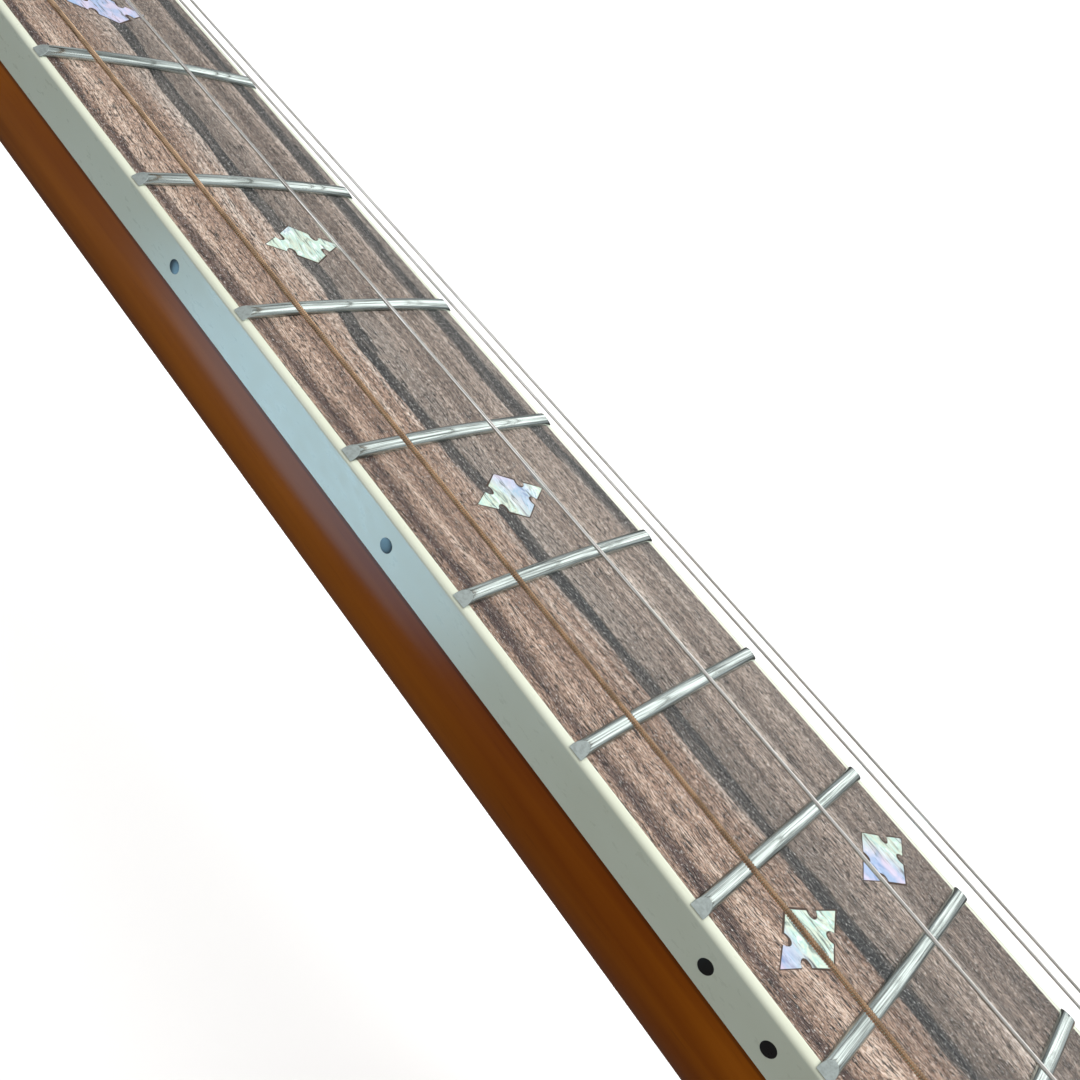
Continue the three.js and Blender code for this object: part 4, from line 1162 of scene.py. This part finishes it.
piece("palm_rest", make_hand_rest(), "nickel", ["hand_rest"], smooth=45)
rest_screws = [at(SCALE + sx * REST.screw_x, sy * REST.screw_y, COVER_TOP + REST.thick)
               for sx in (-1, 1) for sy in (-1, 1)]
screws("palm_rest_screws", 2.0, 1.1, rest_screws)


def make_saddle():
    front, back = low("saddle").x, high("saddle").x
    half, bottom, crest = high("saddle").y, low("saddle").z, SADDLE_STRING_Z + 0.5
    shape = [(-half, bottom), (half, bottom), (half, 4.5), (half - 4, crest), (4 - half, crest), (-half, 4.5)]
    blade = bevelled(loft([[(x, y, z) for y, z in shape] for x in (front, back)]), 0.5, 3)
    return cut(blade, *string_slots(front - 1, back + 1, "saddle", SADDLE_STRING_Z))


piece("saddle_blade", make_saddle(), "pale_wood", ["saddle"])


def make_cone():
    """Spun cone: flat rim, ridged bowl and a raised centre, as (radius, height above the rim)."""
    seat, thick = high("resonator_cone").z, 0.8
    profile = [(134, 0), (123, 0), (98, -14), (66, -26), (48, -26), (14, -9), (4, -8)]
    upper = filleted([(radius, seat + height) for radius, height in profile], 4, 6)
    return moved(lathe(upper + [(p.x, p.y - thick) for p in reversed(upper)], 96), at(SCALE, 0, 0))


piece("spun_cone", make_cone(), "aluminium", ["resonator_cone"], smooth=50)

# --- Tail

STRAP_Z = (low("strap_button").z + high("strap_button").z) / 2
TAIL = Sizes(thick=1.6, lip_top=0.6, bed=-3.8, drop=low("tailpiece").z, half=31, narrowing=14,
             round_end=6, round_lip=1.2, window_near=9, window_far=5)


def make_tailpiece():
    """Sheet bent down over the edge of the body and narrower towards the tail, its corners round."""
    front, back = TAIL_LIP + TAIL.thick / 2, BODY_END + 0.4 + TAIL.thick / 2
    corners = [(front, 0, TAIL.lip_top), (front, 0, TAIL.bed), (back, 0, TAIL.bed), (back, 0, TAIL.drop)]
    path = filleted(corners, 2.4, 6)
    dense = []
    for a, b in zip(path, path[1:]):
        steps = max(1, int((b - a).length / 3))
        dense += [a.lerp(b, i / steps) for i in range(steps)]
    for share in (0.9, 0.55, 0.2, 0):
        dense.append(path[-1] + Vector((0, 0, share * 3)))
    widths = []
    for p in dense:
        width = TAIL.half - TAIL.narrowing * smoothstep(TAIL_LIP + 14, BODY_END - 12, p.x)
        end = max(0, TAIL.round_end - (p.z - TAIL.drop)) / TAIL.round_end
        on_lip = p.x < TAIL_LIP + 3
        start = max(0, TAIL.round_lip - (TAIL.lip_top - p.z)) / TAIL.round_lip if on_lip else 0
        widths.append(width - TAIL.round_end * quarter(end) - TAIL.round_lip * quarter(start))
    sheet = bar(dense, widths, TAIL.thick, Vector((0, 1, 0)), 0.55)
    window = (arc(TAIL_LIP + 24, 0, TAIL.window_near, 90, 270, 14)
              + arc(BODY_END - 26, 0, TAIL.window_far, 270, 450, 10))
    slots = []
    for string in STRINGS:
        reach = string.radius + 0.3
        slots.append(box(TAIL_LIP - 1, TAIL_LIP + 2.2, tail_y(string) - reach, tail_y(string) + reach,
                         TAIL_STRING_Z - reach, 3))
    strap = moved(cylinder(2.8, -30, 10, 32), at(BODY_END, 0, STRAP_Z, QUARTER, "Y"))
    return bevelled(cut(sheet, plate([window], -8, 3), strap, *slots), 0.15, 2, 50)


piece("tail_plate", make_tailpiece(), "nickel", ["tailpiece"], smooth=40)
tail_screws = [at(BODY_END + 2, y, z, QUARTER, "Y") for y, z in ((-11, -20), (11, -20), (0, -30))]
screws("tail_screws", 2.6, 1.4, tail_screws)


def make_strap_button():
    seat, length, head = BODY_END + 2.2, high("strap_button").x - BODY_END - 2.2, 6.5
    tip = seat + length
    corners = [(0, tip), (head - 1.2, tip), (head, tip - 1.6), (head - 0.3, tip - 3.4), (4, tip - 5.4),
               (3.6, seat + 5), (5.2, seat + 0.6), (5.2, seat), (2.2, seat), (2.2, seat - 20), (0, seat - 24)]
    profile = [(max(p.x, 0), p.y) for p in filleted(corners, 0.5, 4)]
    return moved(lathe(profile, 48), at(0, 0, STRAP_Z, QUARTER, "Y"))


piece("strap_knob", make_strap_button(), "nickel", ["strap_button"], smooth=50)

# --- Tuners

PLATE_TOP, PLATE_BOTTOM = -16.6, -17.8
GEAR = Sizes(teeth=14, tip=5.4, root=4.0, width=2.4, z=-21.2)
WORM = Sizes(offset=7.2, core=1.6, crest=2.7, pitch=2.2, shaft=1.5, half=4.4)
LUG = Sizes(near=5.2, thick=2.0, half=3.0, drop=3.0)
KNOB_START = 16


def make_tuner_plate():
    """Plate on the headstock's back, with two lugs that hold the worm's shaft."""
    near, far, half = 14, 10, 8.5
    outline = filleted([(0, -half), (near, -half), (near, half), (-far, half), (-far, -half), (0, -half)],
                       3.4, 6)[:-1]
    sheet = plate([outline, circle(0, 0, POST_HOLE, 32)], PLATE_BOTTOM, PLATE_TOP, 0.25)
    lugs = []
    for side in (-1, 1):
        y0, y1 = sorted((side * LUG.near, side * (LUG.near + LUG.thick)))
        lug = box(WORM.offset - LUG.half, WORM.offset + LUG.half, y0, y1,
                  GEAR.z - LUG.drop, PLATE_BOTTOM + 0.3)
        shaft = moved(cylinder(1.9, -20, 20, 24), at(WORM.offset, 0, GEAR.z, QUARTER, "X"))
        lugs.append(bevelled(cut(lug, shaft), 0.5, 3))
    return joined(sheet, *lugs)


def make_gear():
    """Worm wheel with flat teeth, under the post."""
    pitch = TURN / GEAR.teeth
    outline = []
    for i in range(GEAR.teeth):
        for share, radius in ((-0.27, GEAR.root), (-0.16, GEAR.tip - 0.4), (-0.1, GEAR.tip),
                              (0.1, GEAR.tip), (0.16, GEAR.tip - 0.4), (0.27, GEAR.root)):
            outline.append(polar(radius, (i + 0.5 + share) * pitch))
    z, half = GEAR.z, GEAR.width / 2
    return plate([outline, circle(0, 0, 2.0, 24)], z - half, z + half, 0.15)


def make_post():
    """Post with a waist for its string and a hole for the string's end."""
    top = 12.5
    profile = [(0, top), (POST_RADIUS - 0.9, top), (POST_RADIUS - 0.25, top - 0.25), (POST_RADIUS, top - 0.9),
               (POST_RADIUS, 8.4), (POST_RADIUS - 0.45, 7.6), (POST_RADIUS - 0.45, 1.4), (POST_RADIUS, 0.8),
               (POST_RADIUS, GEAR.z), (2.0, GEAR.z), (2.0, GEAR.z - 2), (0, GEAR.z - 2)]
    hole = moved(cylinder(0.75, -8, 8, 20), at(0, 0, 3.4, QUARTER, "X"))
    return cut(lathe(profile, 40), hole)


def make_worm(side):
    """Shaft with its worm's thread, along Y from the lug to inside the knob."""
    steps = 20
    last = int((WORM.half - 1) / WORM.pitch * steps)
    rings = []
    for i in range(-last, last + 1):
        angle = -QUARTER + TURN * i / steps
        y = WORM.pitch * i / steps
        rings.append([(r * math.sin(angle), y + shift, r * math.cos(angle)) for r, shift in
                      ((WORM.core - 0.4, -0.6), (WORM.crest - 0.15, -0.25), (WORM.crest, 0),
                       (WORM.crest - 0.15, 0.25), (WORM.core - 0.4, 0.6))])
    inner, outer = -(LUG.near + LUG.thick + 1), KNOB_START + 3
    profile = [(0, inner), (WORM.shaft - 0.3, inner), (WORM.shaft, inner + 0.3),
               (WORM.shaft, -WORM.half), (WORM.core, -WORM.half), (WORM.core, WORM.half),
               (WORM.shaft, WORM.half), (WORM.shaft, KNOB_START - 2.2), (2.4, KNOB_START - 1.8),
               (2.4, KNOB_START - 0.3), (WORM.shaft, KNOB_START), (WORM.shaft, outer), (0, outer)]
    shaft = moved(lathe(profile, 32), Matrix.Rotation(-side * QUARTER, 4, "X"))
    return joined(loft(rings), shaft)


def make_knob(side):
    """Flat oval knob with a soft waist near the shaft."""
    stations = [(0, 2.2, 2.2), (0.6, 2.7, 2.5), (1.6, 3.4, 2.9), (3, 5.4, 3.3), (4.6, 7.1, 3.55),
                (6.6, 8, 3.75), (9, 8.2, 3.85), (11.5, 7.9, 3.75), (13.8, 7, 3.5), (15.5, 5.6, 3.0),
                (16.5, 3.9, 2.2), (17, 1.6, 1.0)]
    rings = []
    for along, wide, deep in stations:
        ring = []
        for j in range(32):
            c, s = polar(1, TURN * j / 32)
            ring.append((wide * signed_power(c, 0.8), side * (KNOB_START + along),
                         deep * signed_power(s, 0.8)))
        rings.append(ring)
    return worked(loft(rings), "SUBSURF", levels=1, render_levels=1)


ferrule = lathe(filleted([(3.35, -1.5), (3.35, 1.4), (4.2, 1.7), (5.0, 1.2), (6.4, 0.5), (6.4, 0.02),
                          (4.8, 0.02), (4.8, -1.5)], 0.2, 3))
for number, (x, y, side) in enumerate(POSTS, 1):
    spot = at(x, y, 0)
    piece(f"tuner_base_{number}", moved(make_tuner_plate(), spot), "nickel", [f"tuner_plate_{number}"],
          place=HEAD)
    base_screws = [at(x + dx, y + dy, PLATE_BOTTOM, math.pi, "X")
                   for dx, dy in ((-7, 5.4), (-7, -5.4), (12, 6), (12, -6))]
    screws(f"tuner_screws_{number}", 1.5, 0.9, base_screws, place=HEAD)
    piece(f"post_ferrule_{number}", moved(ferrule, spot), "nickel", place=HEAD, smooth=50)
    body, replaced = f"post_{number}", [f"tuner_post_{number}"]
    piece(f"post_shaft_{number}", moved(make_post(), spot), "nickel", replaced, body, HEAD)
    piece(f"post_gear_{number}", moved(make_gear(), spot), "brass", (), body, HEAD)
    gear_screw = at(x, y, GEAR.z - GEAR.width / 2 + 0.1, math.pi, "X")
    screws(f"gear_screw_{number}", 1.9, 0.9, [gear_screw], body, HEAD)
    body, replaced = f"button_{number}", [f"tuner_button_{number}"]
    spot = at(x + WORM.offset, y, GEAR.z)
    worm, knob = moved(make_worm(side), spot), moved(make_knob(side), spot)
    piece(f"worm_shaft_{number}", worm, "nickel", replaced, body, HEAD)
    piece(f"tuner_knob_{number}", knob, "tuner_button", replaced, body, HEAD, 50)

# --- Pieces inside the body keep their CAD shape

for node, look, edge in (("neck_block", "pale_wood", 0.6), ("tail_block", "pale_wood", 0.6),
                         ("soundwell", "pale_wood", 0.3), ("spider_bridge", "aluminium", 0.5),
                         ("tension_screw", "steel", 0.2), ("truss_rod", "steel", 0.3)):
    dress(node, look, edge)

# --- Camera, floor and light

VIEW_FROM, VIEW_AT, VIEW_UP = (295.7, -117.6, 81.2), (253.1, -0.4, 0), (-0.7388, 0.1812, 0.6492)
SENSOR, LENS = 36, 39.73


def facing(position, target, up):
    """Matrix of a camera or light at position that looks at target."""
    back = (position - target).normalized()
    right = up.cross(back).normalized()
    turn = Matrix((right, back.cross(right), back)).transposed().to_4x4()
    return Matrix.Translation(position) @ turn


camera_data = bpy.data.cameras.new("camera")
camera_data.lens = LENS
camera_data.sensor_width = SENSOR
camera_data.clip_start = 0.01
camera = linked("camera", camera_data)
camera.matrix_world = facing(NECK @ Vector(VIEW_FROM), NECK @ Vector(VIEW_AT), Vector(VIEW_UP))
bpy.context.scene.camera = camera

floor_look = Look("pale_floor", Roughness=0.7)
floor_tone = floor_look.noise((400, 400, 400), detail=3)
floor_look.finish(floor_look.mix(floor_tone, (252, 252, 251), (249, 249, 248)))
FLOOR_HALF = 60
floor_mesh = new_mesh([(sx * FLOOR_HALF, sy * FLOOR_HALF, CAD_BOX[0].z) for sx, sy in
                       ((-1, -1), (1, -1), (1, 1), (-1, 1))], [(0, 1, 2, 3)])
floor_mesh.materials.append(floor_look.material)
floor = linked("floor", floor_mesh)

LIGHT_UP = Vector((0.1, 1, 0.2))


def softbox(name, position, target, width, height, power, colour=(1, 1, 1)):
    light = bpy.data.lights.new(name, "AREA")
    light.shape = "RECTANGLE"
    light.size, light.size_y = width, height
    light.energy = power
    light.color = colour
    linked(name, light).matrix_world = facing(Vector(position), Vector(target), LIGHT_UP)


softbox("key", (0.0, 1.9, 1.5), (0, 0, 0.05), 2.6, 1.4, 13, (1.0, 0.99, 0.97))
softbox("fill", (-1.2, -1.8, 0.9), (0, 0, 0.1), 1.2, 1.0, 5, (0.92, 0.96, 1.0))

# One wide soft light from above, the same over the whole floor.
ceiling = bpy.data.lights.new("ceiling", "SUN")
ceiling.energy, ceiling.angle = 2.8, math.radians(75)
ceiling_lamp = linked("ceiling", ceiling)
ceiling_lamp.visible_glossy = False
ceiling_lamp.matrix_world = facing(Vector((0, 0.5, 2)), Vector((0, 0, 0)), LIGHT_UP)

# The floor neither shows in reflections nor lights the guitar. The studio below the horizon does: dim, with
# one cool window low in front of the neck.
floor.visible_glossy = floor.visible_diffuse = False
WINDOW_TOWARDS, WINDOW_REACH = Vector((-0.46, -0.68, -0.57)).normalized(), 14
WINDOW_COLOUR = (3.6, 6.8, 9.2, 1)
world = bpy.data.worlds.new("studio")
sky = Graph(world)
towards = sky.add("TexCoord", {}, "Generated")
height = sky.remap(sky.parts(towards)[2], -1.0, 1.0)
ground, haze = (0.16, 0.15, 0.14, 1), (0.66, 0.68, 0.7, 1)
panel, gap, overhead = [(level, level, level, 1) for level in (1.3, 0.7, 1.15)]
studio = sky.ramp(height, (0.0, ground), (0.47, ground), (0.53, haze), (0.68, panel), (0.8, gap),
                  (1.0, overhead))
turned = sky.add("VectorMath", {0: towards, 1: WINDOW_TOWARDS}, "Value", operation="DOT_PRODUCT")
rim, core = [math.cos(math.radians(angle)) for angle in (WINDOW_REACH, WINDOW_REACH / 3)]
in_window = sky.remap(turned, rim, core, kind="SMOOTHSTEP")
backdrop = sky.nodes["Background"]
sky.links.new(sky.mix(in_window, studio, WINDOW_COLOUR), backdrop.inputs["Color"])
backdrop.inputs["Strength"].default_value = 0.6
bpy.context.scene.world = world
bpy.context.scene.view_settings.view_transform = "Standard"
